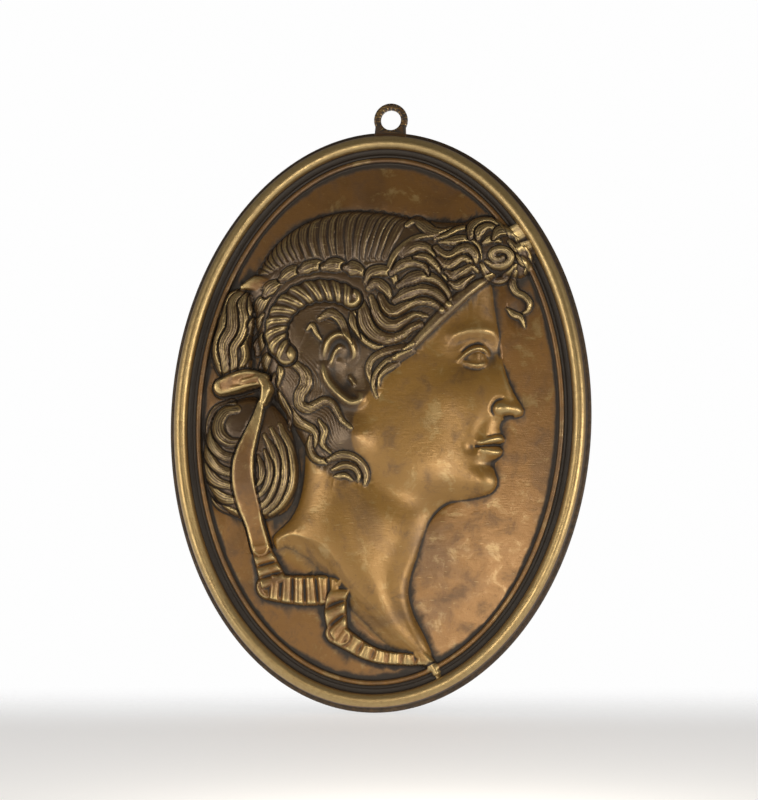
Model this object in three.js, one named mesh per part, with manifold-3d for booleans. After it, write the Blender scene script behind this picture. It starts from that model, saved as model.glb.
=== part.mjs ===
// Oval brass relief plaque: a lady's head in profile inside a moulded rim, cast in one with its hanging eye.
// Millimetres, +Z up. The plaque hangs against a wall whose plane is y = 0, and its front faces -Y.
// The origin is the centre of the eye's hole, in the wall plane.
// Inside this file a relief point is (x, z) from the oval's centre, and its height is its distance off the wall.
import * as THREE from 'three';
import { mergeVertices } from 'three/addons/utils/BufferGeometryUtils.js';
import Module from 'manifold-3d';

// ---- driving sizes ----
const HALF_WIDTH = 87;
const HALF_HEIGHT = 120;
const EYE_ABOVE_CENTRE = 125.3;
const EYE = { outer: 7, hole: 4.2, thickness: 3.2, footWidth: 13, footDepth: 7, bevel: 0.7 };
const FLANGE = { width: 1.9, height: 2.4 };
const TORUS = { inset: 4.7, radius: 2.85, centreHeight: 5.4 };
const COVE = { inset: 9, height: 4.2 };
const BEAD = { inset: 12.0, radius: 1.15, centreHeight: 4.3 };
const FIELD = { inset: 13.5, edge: 3.2, centre: 4.8, fall: 1.6 };
const CUT = { back: 8.4, tip: 6, slope: 0.62 };
const HOLLOW = { inset: 11, wall: 3.5, depth: 6.5, slope: 4 };
const RIM_SEGMENTS = 96;
const FRONT = { cells: 200, triangles: 5480 };
const BACK = { cells: 32, triangles: 400 };
const SOFTENING = 1;
const SLIVER = 0.05;

// ---- small helpers ----
const clamp01 = (t) => Math.min(1, Math.max(0, t));
const mix = (a, b, t) => a + (b - a) * t;
const arch = (t) => Math.sqrt(1 - (1 - clamp01(t)) ** 2);
const spline = (points, perSpan = 6) =>
  new THREE.SplineCurve(points.map(([x, z]) => new THREE.Vector2(x, z))).getPoints(perSpan * (points.length - 1));

function boundsOf(points, margin) {
  const box = new THREE.Box2().setFromPoints(points);
  return box.expandByScalar(margin);
}

// Nearest place on a path: how far along it (0 to 1) and how far to its left (negative to its right).
function nearest(path, x, z) {
  let best = Infinity;
  let along = 0;
  let side = 1;
  for (let i = 0; i + 1 < path.length; i++) {
    const dx = path[i + 1].x - path[i].x;
    const dz = path[i + 1].y - path[i].y;
    const px = x - path[i].x;
    const pz = z - path[i].y;
    const t = clamp01((px * dx + pz * dz) / (dx * dx + dz * dz));
    const gap = (px - t * dx) ** 2 + (pz - t * dz) ** 2;
    if (gap < best) {
      best = gap;
      along = (i + t) / (path.length - 1);
      side = dx * pz - dz * px < 0 ? -1 : 1;
    }
  }
  return { along, across: side * Math.sqrt(best) };
}

function inside(outline, x, z) {
  let within = false;
  for (let i = 0, j = outline.length - 1; i < outline.length; j = i++) {
    const a = outline[i];
    const b = outline[j];
    if (a.y > z !== b.y > z && x < ((b.x - a.x) * (z - a.y)) / (b.y - a.y) + a.x) within = !within;
  }
  return within;
}

// A distance to the outline that has no creases: every stretch of it pulls with the cube of its nearness.
function softDistance(outline, x, z) {
  let pull = 0;
  for (let i = 0, j = outline.length - 1; i < outline.length; j = i++) {
    const a = outline[j];
    const length = Math.hypot(outline[i].x - a.x, outline[i].y - a.y) || 1e-9;
    const ux = (outline[i].x - a.x) / length;
    const uz = (outline[i].y - a.y) / length;
    const start = (a.x - x) * ux + (a.y - z) * uz;
    const end = start + length;
    const off = Math.max(0.03, Math.abs((x - a.x) * uz - (z - a.y) * ux));
    pull += (end / Math.hypot(off, end) - start / Math.hypot(off, start)) / (off * off);
  }
  return Math.sqrt(2 / pull);
}

// ---- forms: each takes a place, the height of the body under the carving and the height so far ----

// A swelling body with a rounded edge.
function dome(points, { foot, top, round, perSpan = 5 }) {
  const outline = spline([...points, points[0]], perSpan).slice(0, -1);
  const box = boundsOf(outline, 0);
  return (x, z, h) => {
    if (!box.containsPoint({ x, y: z }) || !inside(outline, x, z)) return h;
    return Math.max(h, mix(foot, top, arch(softDistance(outline, x, z) / round)));
  };
}

// A round-topped lock of hair, cut into strands, with a groove round it.
function lock(route, { width = 4, tip = 0.45, lift = 1.3, strands = 3, sink = 0.9, cut = 0.55 } = {}) {
  const path = spline(route);
  const box = boundsOf(path, width);
  return (x, z, h, body) => {
    if (!box.containsPoint({ x, y: z })) return h;
    const { along, across } = nearest(path, x, z);
    const taper = mix(1, tip, along ** 2) * mix(0.6, 1, clamp01(along * 5));
    const q = (2 * across) / (width * taper);
    const edge = Math.abs(q);
    if (edge >= 1) return edge < 1.25 ? Math.min(h, body - sink) : h;
    const strand = ((q + 1) / 2) * strands;
    const round = Math.abs(strand - Math.floor(strand) - 0.5) * 2;
    return body + lift * Math.sqrt(1 - edge ** 2) - cut * round ** 2;
  };
}

// A smooth raised band: ribbon, fillet, eyelid or lip.
function band(route, { widths, height, lift = 0, pleats = 0, depth = 0.8, flat = 0.7 }) {
  const path = spline(route);
  const box = boundsOf(path, Math.max(...widths));
  return (x, z, h, body) => {
    if (!box.containsPoint({ x, y: z })) return h;
    const { along, across } = nearest(path, x, z);
    const place = along * (widths.length - 1);
    const from = Math.min(Math.floor(place), widths.length - 2);
    const width = mix(widths[from], widths[from + 1], place - from);
    const edge = Math.abs((2 * across) / width);
    if (edge >= 1) return h;
    const crown = height ? mix(height[0], height[1], along) : body + lift;
    const fold = pleats ? depth * (Math.cos(2 * Math.PI * pleats * along) - 1) * 0.5 : 0;
    return Math.max(h, crown + fold - (crown - body) * clamp01((edge - flat) / (1 - flat)) ** 2);
  };
}

// A soft swelling (or, with a negative lift, a hollow) with an oval plan turned by an angle in degrees.
function swell(x0, z0, { long, short = long, turn = 0, lift }) {
  const c = Math.cos(THREE.MathUtils.degToRad(turn));
  const s = Math.sin(THREE.MathUtils.degToRad(turn));
  return (x, z, h) => {
    const u = ((x - x0) * c + (z - z0) * s) / long;
    const v = ((z - z0) * c - (x - x0) * s) / short;
    return h + lift * Math.exp(-(u * u + v * v));
  };
}

// A smooth ridge or groove along a route, fading at both ends.
function crease(route, { width, lift }) {
  const path = spline(route);
  const box = boundsOf(path, width * 2);
  return (x, z, h) => {
    if (!box.containsPoint({ x, y: z })) return h;
    const { along, across } = nearest(path, x, z);
    const fade = Math.sin(Math.PI * clamp01(along)) ** 0.5;
    return h + lift * fade * Math.exp(-((across / (width / 2)) ** 2));
  };
}

// ---- proportions of the head: seven half units from crown to chin ----
const CROWN = 84;
const UNIT = 33;
const FACE_PLANE = 48.5;
const BROW = CROWN - 1.5 * UNIT;
const EYE_LINE = CROWN - 1.75 * UNIT;
const NOSE_BASE = CROWN - 2.5 * UNIT;
const MOUTH = NOSE_BASE - UNIT / 3;
const CHIN = CROWN - 3.5 * UNIT;

// The face's profile from hairline to chin, as steps forward of the face plane at set heights.
const profile = [
  [-4.5, BROW + 26], [-1.6, BROW + 13], [0.7, BROW], [0.9, EYE_LINE + 3.5], [5.6, EYE_LINE - 10],
  [11.2, NOSE_BASE + 4.4], [11.6, NOSE_BASE + 2.2], [9.6, NOSE_BASE + 0.2], [3.4, NOSE_BASE - 0.6],
  [1.9, NOSE_BASE - 4], [3.4, NOSE_BASE - 7.2], [4, MOUTH + 1.9], [1.8, MOUTH], [3, MOUTH - 2.7],
  [0.9, MOUTH - 6], [-0.4, MOUTH - 8.4], [1.6, CHIN + 8.5], [0.6, CHIN + 4], [-3.5, CHIN + 0.4],
].map(([forward, z]) => [FACE_PLANE + forward, z]);

// ---- bodies under the carving ----
const neckFront = [
  [38, -33], [31, -34.8], [26.5, -37.5], [22.5, -43], [20, -50], [17.6, -58], [15.6, -66], [15.8, -73],
  [18.6, -81], [22.6, -88], [25.6, -96],
];
const ridgeOfCut = [[-41.5, -46.5], [-36, -46.8], [-29, -49.4], [-20, -56], [-9.5, -69.2], [6, -84.4], [24.5, -97]];
const footOfCut = [[26, -99], [8, -92], [-8, -80], [-20, -69], [-31, -61], [-39.5, -55], [-42.5, -49.5]];
const backOfHead = [[-36, -42], [-31, -32], [-30, -12], [-38, 10], [-46, 34], [-40, 58], [-18, 76], [10, 80], [34, 74]];

const bust = dome([...profile, ...neckFront, ...footOfCut, ...backOfHead], { foot: 2.4, top: 10.6, round: 21, perSpan: 3 });
const hair = dome(
  [
    [-52, 60], [-49, 65.5], [-44.4, 72.6], [-37, 78.8], [-28, 83.3], [-15, 86.3], [0, 85.6], [9, 84], [20, 82.5],
    [31, 82], [40, 84.6], [49, 82], [56, 77], [60.5, 70], [60, 62], [54, 58], [46, 60], [36.4, 54], [28, 46.8],
    [19.8, 38], [10, 27], [2, 17], [-4, 8], [-10, 0], [-9, -14], [-3, -22], [-10, -27], [-24, -23], [-33, -8],
    [-40, 4], [-46, 12], [-50, 24], [-53, 40], [-57, 52],
  ],
  { foot: 3.2, top: 11.2, round: 15 },
);
const sideHair = dome(
  [
    [-60, 52], [-64.6, 50], [-67, 43], [-69.5, 32], [-69.8, 24], [-66, 16.5], [-60, 14], [-54, 18], [-54, 30],
    [-52.5, 42], [-54.5, 50.5],
  ],
  { foot: 3.6, top: 9.2, round: 7 },
);
const bun = dome(
  [
    [-60, 6], [-67, 2], [-71, -9], [-71.8, -19], [-69.5, -28], [-63, -37], [-55, -42.5], [-44, -42], [-36, -38],
    [-32, -29], [-33, -16], [-37, -4], [-44, 5], [-52, 8],
  ],
  { foot: 3.4, top: 10.4, round: 11 },
);
const bodies = [bust, hair, sideHair, bun];

// Below its ridge the cut of the neck falls away to the field.
const cutRidge = spline(ridgeOfCut);
function cutOfNeck(x, z, h) {
  const { along, across } = nearest(cutRidge, x, z);
  if (across > 0 || x < -43 || z > -40) return h;
  return Math.min(h, mix(CUT.back, CUT.tip, along) + across * CUT.slope);
}

// ---- face ----
const eyeX = FACE_PLANE - 10.5;
const face = [
  swell(FACE_PLANE - 2.5, EYE_LINE + 0.5, { long: 6, short: 5, lift: -2.3 }),
  swell(eyeX, EYE_LINE, { long: 8.5, short: 6.5, lift: -1.7 }),
  swell(eyeX + 0.5, EYE_LINE, { long: 4.6, short: 4, lift: 2.2 }),
  crease([[eyeX + 8.5, BROW + 0.5], [eyeX + 1, BROW + 2.2], [eyeX - 9, BROW + 1], [eyeX - 16, BROW - 3]], { width: 4.5, lift: 1.1 }),
  crease([[eyeX + 5, EYE_LINE + 1.2], [eyeX + 1.5, EYE_LINE + 3.6], [eyeX - 4, EYE_LINE + 2.2], [eyeX - 9, EYE_LINE - 1.6]], { width: 2, lift: 1.2 }),
  crease([[eyeX + 4.2, EYE_LINE - 3], [eyeX, EYE_LINE - 3.7], [eyeX - 6, EYE_LINE - 2]], { width: 1.8, lift: 0.8 }),
  crease([[eyeX + 5.4, EYE_LINE + 0.4], [eyeX + 4.6, EYE_LINE - 2.4]], { width: 1.2, lift: -0.8 }),
  swell(FACE_PLANE + 3.2, NOSE_BASE + 4.2, { long: 4.2, short: 3.2, lift: 1.9 }),
  crease([[FACE_PLANE + 0.5, NOSE_BASE + 9.5], [FACE_PLANE - 2.2, NOSE_BASE + 5], [FACE_PLANE - 0.4, NOSE_BASE + 0.8]], { width: 2, lift: -1 }),
  swell(FACE_PLANE + 5.2, NOSE_BASE + 1.4, { long: 2.2, short: 1, lift: -1.4 }),
  crease([[FACE_PLANE + 3, MOUTH + 0.1], [FACE_PLANE - 3, MOUTH - 0.2], [FACE_PLANE - 8, MOUTH - 0.8]], { width: 1.6, lift: -1.7 }),
  crease([[FACE_PLANE + 3.6, MOUTH + 2.4], [FACE_PLANE - 1, MOUTH + 2], [FACE_PLANE - 6, MOUTH + 0.6]], { width: 2.6, lift: 1.1 }),
  crease([[FACE_PLANE + 2.6, MOUTH - 2.7], [FACE_PLANE - 2, MOUTH - 2.9], [FACE_PLANE - 6, MOUTH - 1.6]], { width: 3, lift: 1.1 }),
  swell(FACE_PLANE - 9.6, MOUTH - 1, { long: 2.2, lift: -0.9 }),
  swell(FACE_PLANE - 2, MOUTH - 8, { long: 6, short: 2.4, lift: -1 }),
  swell(FACE_PLANE - 4, CHIN + 7.5, { long: 6.5, short: 5.5, lift: 1.1 }),
  swell(FACE_PLANE - 24, NOSE_BASE + 2, { long: 17, short: 14, turn: -25, lift: 1 }),
  crease([[-8, -6], [-2, -20], [10, -29.5], [26, -33.5], [40, CHIN - 1.5]], { width: 15, lift: -1.9 }),
];

// ---- ear ----
const ear = [
  swell(-15, 20, { long: 8, short: 12.5, turn: -20, lift: -1.6 }),
  crease([[-22, 22], [-20.5, 31], [-15, 33.5], [-10.5, 29], [-10.8, 22], [-13.5, 20]], { width: 3.4, lift: 2.2 }),
  crease([[-20.5, 18], [-17.5, 27], [-13.5, 26]], { width: 2.4, lift: 1.2 }),
  crease([[-22, 22], [-20.5, 14], [-15, 8.5], [-9.5, 6.5], [-7.8, 11]], { width: 4.6, lift: 2.6 }),
  crease([[-12.8, 17.5], [-9, 12]], { width: 2, lift: 1 }),
];

// ---- hair ----
const carving = [];

// Combed crown: comma-shaped strands that spring from the outline and sweep down to the braid.
const crownEdge = spline([[-50.5, 61], [-45, 72], [-36, 79.5], [-24, 84.3], [-12, 86], [0, 85], [9, 83]]);
const crownFoot = spline([[-46, 60.5], [-40.5, 64.5], [-33, 66], [-24, 66], [-14, 66], [-6, 66.5], [1, 68]]);
const CROWN_STRANDS = 17;
for (let i = 0; i < CROWN_STRANDS; i++) {
  const t = i / (CROWN_STRANDS - 1);
  const top = crownEdge[Math.round(t * (crownEdge.length - 1))];
  const foot = crownFoot[Math.round(t * (crownFoot.length - 1))];
  const hook = 2.6 - 1.2 * t;
  const route = [[top.x + 1.6, top.y - 0.6], [mix(top.x, foot.x, 0.25) - hook, mix(top.y, foot.y, 0.3)],
    [mix(top.x, foot.x, 0.6) - hook, mix(top.y, foot.y, 0.65)], [foot.x, foot.y]];
  carving.push(lock(route, { width: 3.3, tip: 0.8, lift: 0.7, strands: 1, sink: 0.4, cut: 0.3 }));
}

// Bun: nested arcs on both sides of the ribbon.
const BUN_ARCS = 5;
function bunArc(x0, z0, rx, rz, from, to) {
  const turn = (f) => THREE.MathUtils.degToRad(mix(from, to, f));
  return [0, 0.25, 0.5, 0.75, 1].map((f) => [x0 + rx * Math.cos(turn(f)), z0 + rz * Math.sin(turn(f))]);
}
for (let i = 0; i < BUN_ARCS; i++) {
  const grow = i / (BUN_ARCS - 1);
  const left = bunArc(-56, -17, mix(3.5, 14, grow), mix(7, 22, grow), 100, 262);
  const right = bunArc(-47.5, -19, mix(2.5, 13.4, grow), mix(6, 22, grow), 84, -88);
  carving.push(lock(left, { width: 3.4, tip: 0.6, lift: 0.9, strands: 2 }));
  carving.push(lock(right, { width: 3.3, tip: 0.6, lift: 0.9, strands: 2 }));
}

// Side hair: wavy strands gathered under the ribbon.
const SIDE_STRANDS = 4;
for (let i = 0; i < SIDE_STRANDS; i++) {
  const t = i / (SIDE_STRANDS - 1);
  const route = [[-62, 50.5], [-64.6, 45], [-63.2, 38], [-66, 31], [-66.2, 24], [-64, 17]];
  const shift = [[0, 0], [8.5, 1], [8, 1], [9, 1], [8, -1], [3, -1]];
  const places = route.map(([x, z], k) => [x + shift[k][0] * t, z + shift[k][1] * t]);
  carving.push(lock(places, { width: 3.6, tip: 0.6, lift: 0.9, strands: 2 }));
}

// Outer braid: a chain of slanting lumps from the left end of the fillet to the temple.
const braid = [
  [-45, 17, 75, 7], [-48, 24.5, 60, 8], [-51, 34, 60, 9], [-50, 45, 60, 9], [-45.3, 52.5, 40, 9],
  [-38, 58.3, 35, 9], [-27.5, 61, 15, 11], [-15.5, 61, -5, 11], [-1, 61, -20, 11], [0.5, 54.5, -50, 9],
];
for (const [x, z, turn, length] of braid) {
  const c = (Math.cos(THREE.MathUtils.degToRad(turn)) * length) / 2;
  const s = (Math.sin(THREE.MathUtils.degToRad(turn)) * length) / 2;
  carving.push(lock([[x - c, z - s], [x, z + 0.8], [x + c, z + s]], { width: 5.6, lift: 1.5, strands: 3 }));
}

const waves = [
  // locks of the temple, from the bottom up
  [[[-9.7, 47], [-7, 41], [-3, 35.6], [4, 32.6], [10, 34.5], [15.5, 38]], 6.4],
  [[[-5, 49], [-2.4, 42.5], [2, 38.4], [7, 40.4], [12, 43.6], [17.6, 43]], 5],
  [[[5, 44], [11, 48], [17, 49.4], [23, 46.5]], 5.6],
  [[[7, 50], [13, 54], [20, 54.4], [26.6, 48.5]], 5.4],
  [[[8, 56.5], [15, 60.5], [21, 60], [26.8, 53.5]], 5],
  [[[3.5, 59.5], [8.5, 64], [13.5, 65.4], [17.5, 61.5]], 4.6],
  [[[8.6, 68], [14, 71.6], [20, 70], [20.5, 65.5]], 4.8],
  // short locks before the ear
  [[[9, 29.5], [3, 25.4], [-2.6, 21.5], [-4.6, 16.5], [-1.6, 9.5]], 4.2],
  [[[11, 26], [3, 23.5], [-1, 19.5], [-1.6, 14]], 3.2],
  // locks of the top, above the forehead
  [[[9.5, 81.5], [14, 83], [17, 78.6], [23, 77.6], [30.5, 79.4]], 4.6],
  [[[21.5, 70], [26.5, 68.4], [32, 71.6], [38, 69.8], [38, 62]], 5],
  [[[20, 74.5], [27, 73], [33, 76.5], [40, 74.5], [42, 66]], 4.6],
  [[[26.5, 63.5], [30.5, 65.4], [34.5, 64], [36, 58.5]], 4.2],
  [[[27.5, 58], [31.5, 57.6], [35, 60.4], [38.5, 63]], 4],
  [[[35.5, 77.5], [38, 82.6], [44, 83.4], [48, 80]], 4.4],
  [[[45, 74.5], [47.5, 78], [52, 78.4], [54.6, 74.6], [52.6, 71]], 4],
  [[[54, 69.5], [57.4, 71], [59.6, 67.4], [57, 64.4]], 3.6],
  [[[54, 61.5], [53, 57], [56, 53.4], [59.4, 50.6], [58.4, 47]], 3.4],
  [[[52.4, 46.6], [55, 45], [58, 43], [58.6, 39.6]], 3],
  [[[41, 66.5], [43, 60.5], [48, 57.5], [52, 60]], 3.6],
  // locks behind and under the ear
  [[[-37, 22.8], [-30.6, 19.6], [-29, 14], [-32.2, 7.6], [-28.4, 3.4], [-21, 5.4], [-16, 2.6], [-14.6, -2], [-11.3, -5]], 4.6],
  [[[-34.6, 2], [-32.8, -2.6], [-27.5, -4.4], [-25, -7], [-24.6, -11]], 4],
  [[[-27.2, -8.5], [-27.2, -14], [-23, -17.8], [-17, -16]], 3.6],
  [[[-18.5, -17.5], [-11.5, -17.8], [-5.6, -20.4], [-3.8, -26]], 4],
  [[[-15.5, -21], [-10, -22.6], [-6.4, -25.6]], 3.6],
  [[[-40.4, 12], [-38.8, 6.5], [-36.5, 2.5]], 3.6],
  [[[-24.5, 40.4], [-19.4, 42.4], [-15.8, 38.6], [-13.4, 33.5]], 4],
];
for (const [route, width] of waves) carving.push(lock(route, { width, strands: Math.round(width / 1.6) }));

// Spiral curl above the forehead.
const CURL = { x: 47.8, z: 68.2, turns: 1.35, wide: 6, high: 4.4 };
const curl = Array.from({ length: 12 }, (_, i) => {
  const shrink = 1 - (0.72 * i) / 11;
  const turn = -0.4 + (2 * Math.PI * CURL.turns * i) / 11;
  return [CURL.x + CURL.wide * shrink * Math.cos(turn), CURL.z + CURL.high * shrink * Math.sin(turn)];
});
carving.push(lock(curl, { width: 3, tip: 0.8, strands: 2, lift: 1.6 }));

// Inner coil: a thick rope of short barrel-shaped twists round the ear.
const coilPath = spline([[-13, 47.5], [-22, 51.4], [-32, 50.4], [-39.4, 45], [-43.6, 36], [-42, 28.5], [-38, 24.5]], 8);
const COIL = { width: 9.4, twists: 15, lift: 3, groove: 0.9 };
const coilBox = boundsOf(coilPath, COIL.width);
carving.push((x, z, h, body) => {
  if (!coilBox.containsPoint({ x, y: z })) return h;
  const { along, across } = nearest(coilPath, x, z);
  const q = across / (COIL.width / 2);
  if (Math.abs(q) >= 1) return Math.abs(q) < 1.2 ? Math.min(h, body - 0.8) : h;
  const twist = along * COIL.twists + q * 0.5;
  return body + COIL.lift * Math.sqrt(1 - q * q) - COIL.groove * Math.abs(Math.cos(Math.PI * twist)) ** 3;
});

// ---- ribbon ----
const fillet = band([[2, 60], [6.4, 67.3], [13, 74], [21, 75.5]], { widths: [2, 4, 3, 2], lift: 1.2, flat: 0.4 });
const filletEnd = band([[-58, 53.5], [-53.5, 55.5], [-48.5, 55]], { widths: [3, 8, 3], height: [7.6, 8.6], flat: 0.3 });
const ribbon = [
  band([[-49, 4.5], [-50.6, -3], [-53.4, -14], [-54.5, -25], [-51.6, -38], [-47.6, -52], [-41, -69]],
    { widths: [3, 5, 9, 9.6, 8.6, 7.6, 12], height: [12.2, 6.4], flat: 0.8 }),
  band([[-50, -50], [-46, -57], [-40.5, -69]], { widths: [7, 9, 12], height: [6.8, 6.6], pleats: 4, depth: 1.1 }),
  band([[-42.5, -70], [-31, -70.8], [-21.5, -71.2], [-14, -72.5]],
    { widths: [10, 12, 12.6, 11], height: [6.6, 7.4], pleats: 5, depth: 1.2 }),
  band([[-13, -70], [-14.6, -77], [-14.4, -84], [-11.5, -89]],
    { widths: [8, 10, 9.4, 8], height: [7.6, 7], pleats: 3, depth: 1.4 }),
  band([[-14, -88.6], [-7, -92.6], [1, -96], [13, -97.6], [26, -99.5]],
    { widths: [9.6, 8, 6.2, 5.2, 3.6], height: [6.8, 6.2], pleats: 6, depth: 0.9 }),
  band([[-65, 11.8], [-58, 13.6], [-50, 15.4], [-45, 12]], { widths: [8.5, 9.6, 8, 5], height: [9.6, 11.6], pleats: 2, depth: 1 }),
  band([[-48.4, 14], [-46.6, 10.5], [-46.4, 5]], { widths: [5, 6.4, 4], height: [12.6, 12], flat: 0.3 }),
];
const tipOfBust = band([[22, -97], [26.4, -101.6], [29, -104.4]], { widths: [5, 5.2, 3], height: [6.2, 6.4], flat: 0.3 });

// ---- height of the front ----
function fieldHeight(x, z) {
  const out = (x / (HALF_WIDTH - FIELD.inset)) ** 2 + (z / (HALF_HEIGHT - FIELD.inset)) ** 2;
  return mix(FIELD.centre, FIELD.edge, Math.min(out, 1.2) ** FIELD.fall);
}

function relief(x, z) {
  let body = fieldHeight(x, z);
  for (const form of bodies) body = form(x, z, body);
  body = cutOfNeck(x, z, body);
  let h = body;
  for (const form of [...face, ...ear]) h = bust(x, z, 0) > 0 ? form(x, z, h) : h;
  for (const form of [...carving, fillet, filletEnd, ...ribbon, tipOfBust]) h = form(x, z, h, body);
  return Math.max(h, fieldHeight(x, z) - 0.5);
}

// ---- meshes ----

// Heights over a square grid, softened so that narrow cuts keep a slope that few faces can follow.
function softHeights(height, cells) {
  const side = cells + 1;
  let h = Float64Array.from({ length: side * side }, (_, k) => height((k % side) / cells, Math.floor(k / side) / cells));
  for (let pass = 0; pass < SOFTENING; pass++) {
    for (const step of [1, side]) {
      h = h.map((value, k) => {
        const place = step === 1 ? k % side : Math.floor(k / side);
        return place === 0 || place === cells ? value : (h[k - step] + 2 * value + h[k + step]) / 4;
      });
    }
  }
  return h;
}

// A list kept in order of cost, cheapest first.
class Queue {
  items = [];

  push(item) {
    const list = this.items;
    let k = list.push(item) - 1;
    while (k > 0 && list[(k - 1) >> 1].cost > item.cost) {
      list[k] = list[(k - 1) >> 1];
      k = (k - 1) >> 1;
    }
    list[k] = item;
  }

  pop() {
    const list = this.items;
    const first = list[0];
    const last = list.pop();
    let k = 0;
    while (2 * k + 1 < list.length) {
      let child = 2 * k + 1;
      if (child + 1 < list.length && list[child + 1].cost < list[child].cost) child++;
      if (last.cost <= list[child].cost) break;
      list[k] = list[child];
      k = child;
    }
    if (list.length) list[k] = last;
    return first;
  }
}

// The squared distance to a set of planes, as the ten sums that give it at any point.
function addPlane(sums, [a, b, c, d], weight) {
  const products = [a * a, a * b, a * c, a * d, b * b, b * c, b * d, c * c, c * d, d * d];
  products.forEach((product, k) => { sums[k] += weight * product; });
}
function squaredDistance(s, t, [x, y, z]) {
  const q = (k) => s[k] + t[k];
  return q(0) * x * x + 2 * q(1) * x * y + 2 * q(2) * x * z + 2 * q(3) * x + q(4) * y * y + 2 * q(5) * y * z
    + 2 * q(6) * y + q(7) * z * z + 2 * q(8) * z + q(9);
}

// Thins a patch of relief: folds corners into neighbours, cheapest first, and never folds the plan over itself.
function thin(points, triangles, onBorder, target) {
  const around = points.map(() => new Set());
  const sums = points.map(() => new Float64Array(10));
  const stamp = new Uint32Array(points.length);
  const vectors = points.map((p) => new THREE.Vector3(...p));
  triangles.forEach((triangle, id) => {
    const [p, q, r] = triangle.map((k) => vectors[k]);
    const normal = new THREE.Vector3().crossVectors(q.clone().sub(p), r.clone().sub(p));
    const area = normal.length() / 2;
    normal.normalize();
    for (const k of triangle) {
      around[k].add(id);
      addPlane(sums[k], [...normal, -normal.dot(p)], area);
    }
    triangle.forEach((from, k) => {
      const to = triangle[(k + 1) % 3];
      if (!onBorder(from) || !onBorder(to)) return;
      const edge = vectors[to].clone().sub(vectors[from]);
      const wall = new THREE.Vector3().crossVectors(edge, normal).normalize();
      for (const end of [from, to]) addPlane(sums[end], [...wall, -wall.dot(vectors[from])], edge.length() ** 2 * 4);
    });
  });
  const neighbours = (u) => new Set([...around[u]].flatMap((id) => triangles[id]).filter((k) => k !== u));
  const planArea = (a, b, c) => (b[0] - a[0]) * (c[1] - a[1]) - (c[0] - a[0]) * (b[1] - a[1]);
  const canFold = (u, v) => {
    const shared = [...around[u]].filter((id) => around[v].has(id)).length;
    if (shared === 0 || (onBorder(u) && (!onBorder(v) || shared !== 1))) return false;
    const beside = neighbours(v);
    if ([...neighbours(u)].filter((k) => beside.has(k)).length !== shared) return false;
    return [...around[u]].every((id) => {
      if (around[v].has(id)) return true;
      const moved = triangles[id].map((k) => points[k === u ? v : k]);
      const edges = moved.map((p, k) => Math.hypot(p[0] - moved[(k + 1) % 3][0], p[1] - moved[(k + 1) % 3][1]));
      return planArea(...moved) > SLIVER * Math.max(...edges) ** 2;
    });
  };
  const queue = new Queue();
  const offer = (u, v) => {
    queue.push({ cost: squaredDistance(sums[u], sums[v], points[v]), u, v, stamps: stamp[u] + stamp[v] });
  };
  points.forEach((_, u) => neighbours(u).forEach((v) => offer(u, v)));
  let left = triangles.length;
  while (left > target && queue.items.length) {
    const { u, v, stamps } = queue.pop();
    if (!around[u].size || !around[v].size || stamp[u] + stamp[v] !== stamps || !canFold(u, v)) continue;
    for (const id of around[u]) {
      if (around[v].has(id)) {
        triangles[id].filter((k) => k !== u).forEach((k) => around[k].delete(id));
        triangles[id] = null;
        left--;
      } else {
        triangles[id] = triangles[id].map((k) => (k === u ? v : k));
        around[v].add(id);
      }
    }
    around[u].clear();
    sums[u].forEach((sum, k) => { sums[v][k] += sum; });
    stamp[v] += 1;
    neighbours(v).forEach((w) => {
      offer(v, w);
      offer(w, v);
    });
  }
  return triangles.filter(Boolean);
}

const positions = [];
function corner(x, height, z) {
  positions.push(x, -height, z - EYE_ABOVE_CENTRE);
  return positions.length / 3 - 1;
}
const faces = [];
const ovalPoint = (inset, turn) => [(HALF_WIDTH - inset) * Math.cos(turn), (HALF_HEIGHT - inset) * Math.sin(turn)];

// One closed ring of corners round the oval, each with its angle.
function ring(inset, heightAt) {
  return Array.from({ length: RIM_SEGMENTS }, (_, i) => {
    const turn = (2 * Math.PI * i) / RIM_SEGMENTS;
    const [x, z] = ovalPoint(inset, turn);
    return { turn, id: corner(x, heightAt(x, z), z) };
  });
}

// Faces between an outer and an inner ring, whose counts may differ. Both run counter-clockwise from angle 0.
function stitch(outer, inner, flip) {
  const angle = (list, k) => list[k % list.length].turn + (k >= list.length ? 2 * Math.PI : 0);
  let a = 0;
  let b = 0;
  while (a < outer.length || b < inner.length) {
    const p = outer[a % outer.length].id;
    const q = inner[b % inner.length].id;
    const outerNext = b >= inner.length || (a < outer.length && angle(outer, a + 1) <= angle(inner, b + 1));
    const r = outerNext ? outer[++a % outer.length].id : inner[++b % inner.length].id;
    faces.push(flip ? [p, q, r] : [p, r, q]);
  }
}

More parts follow.
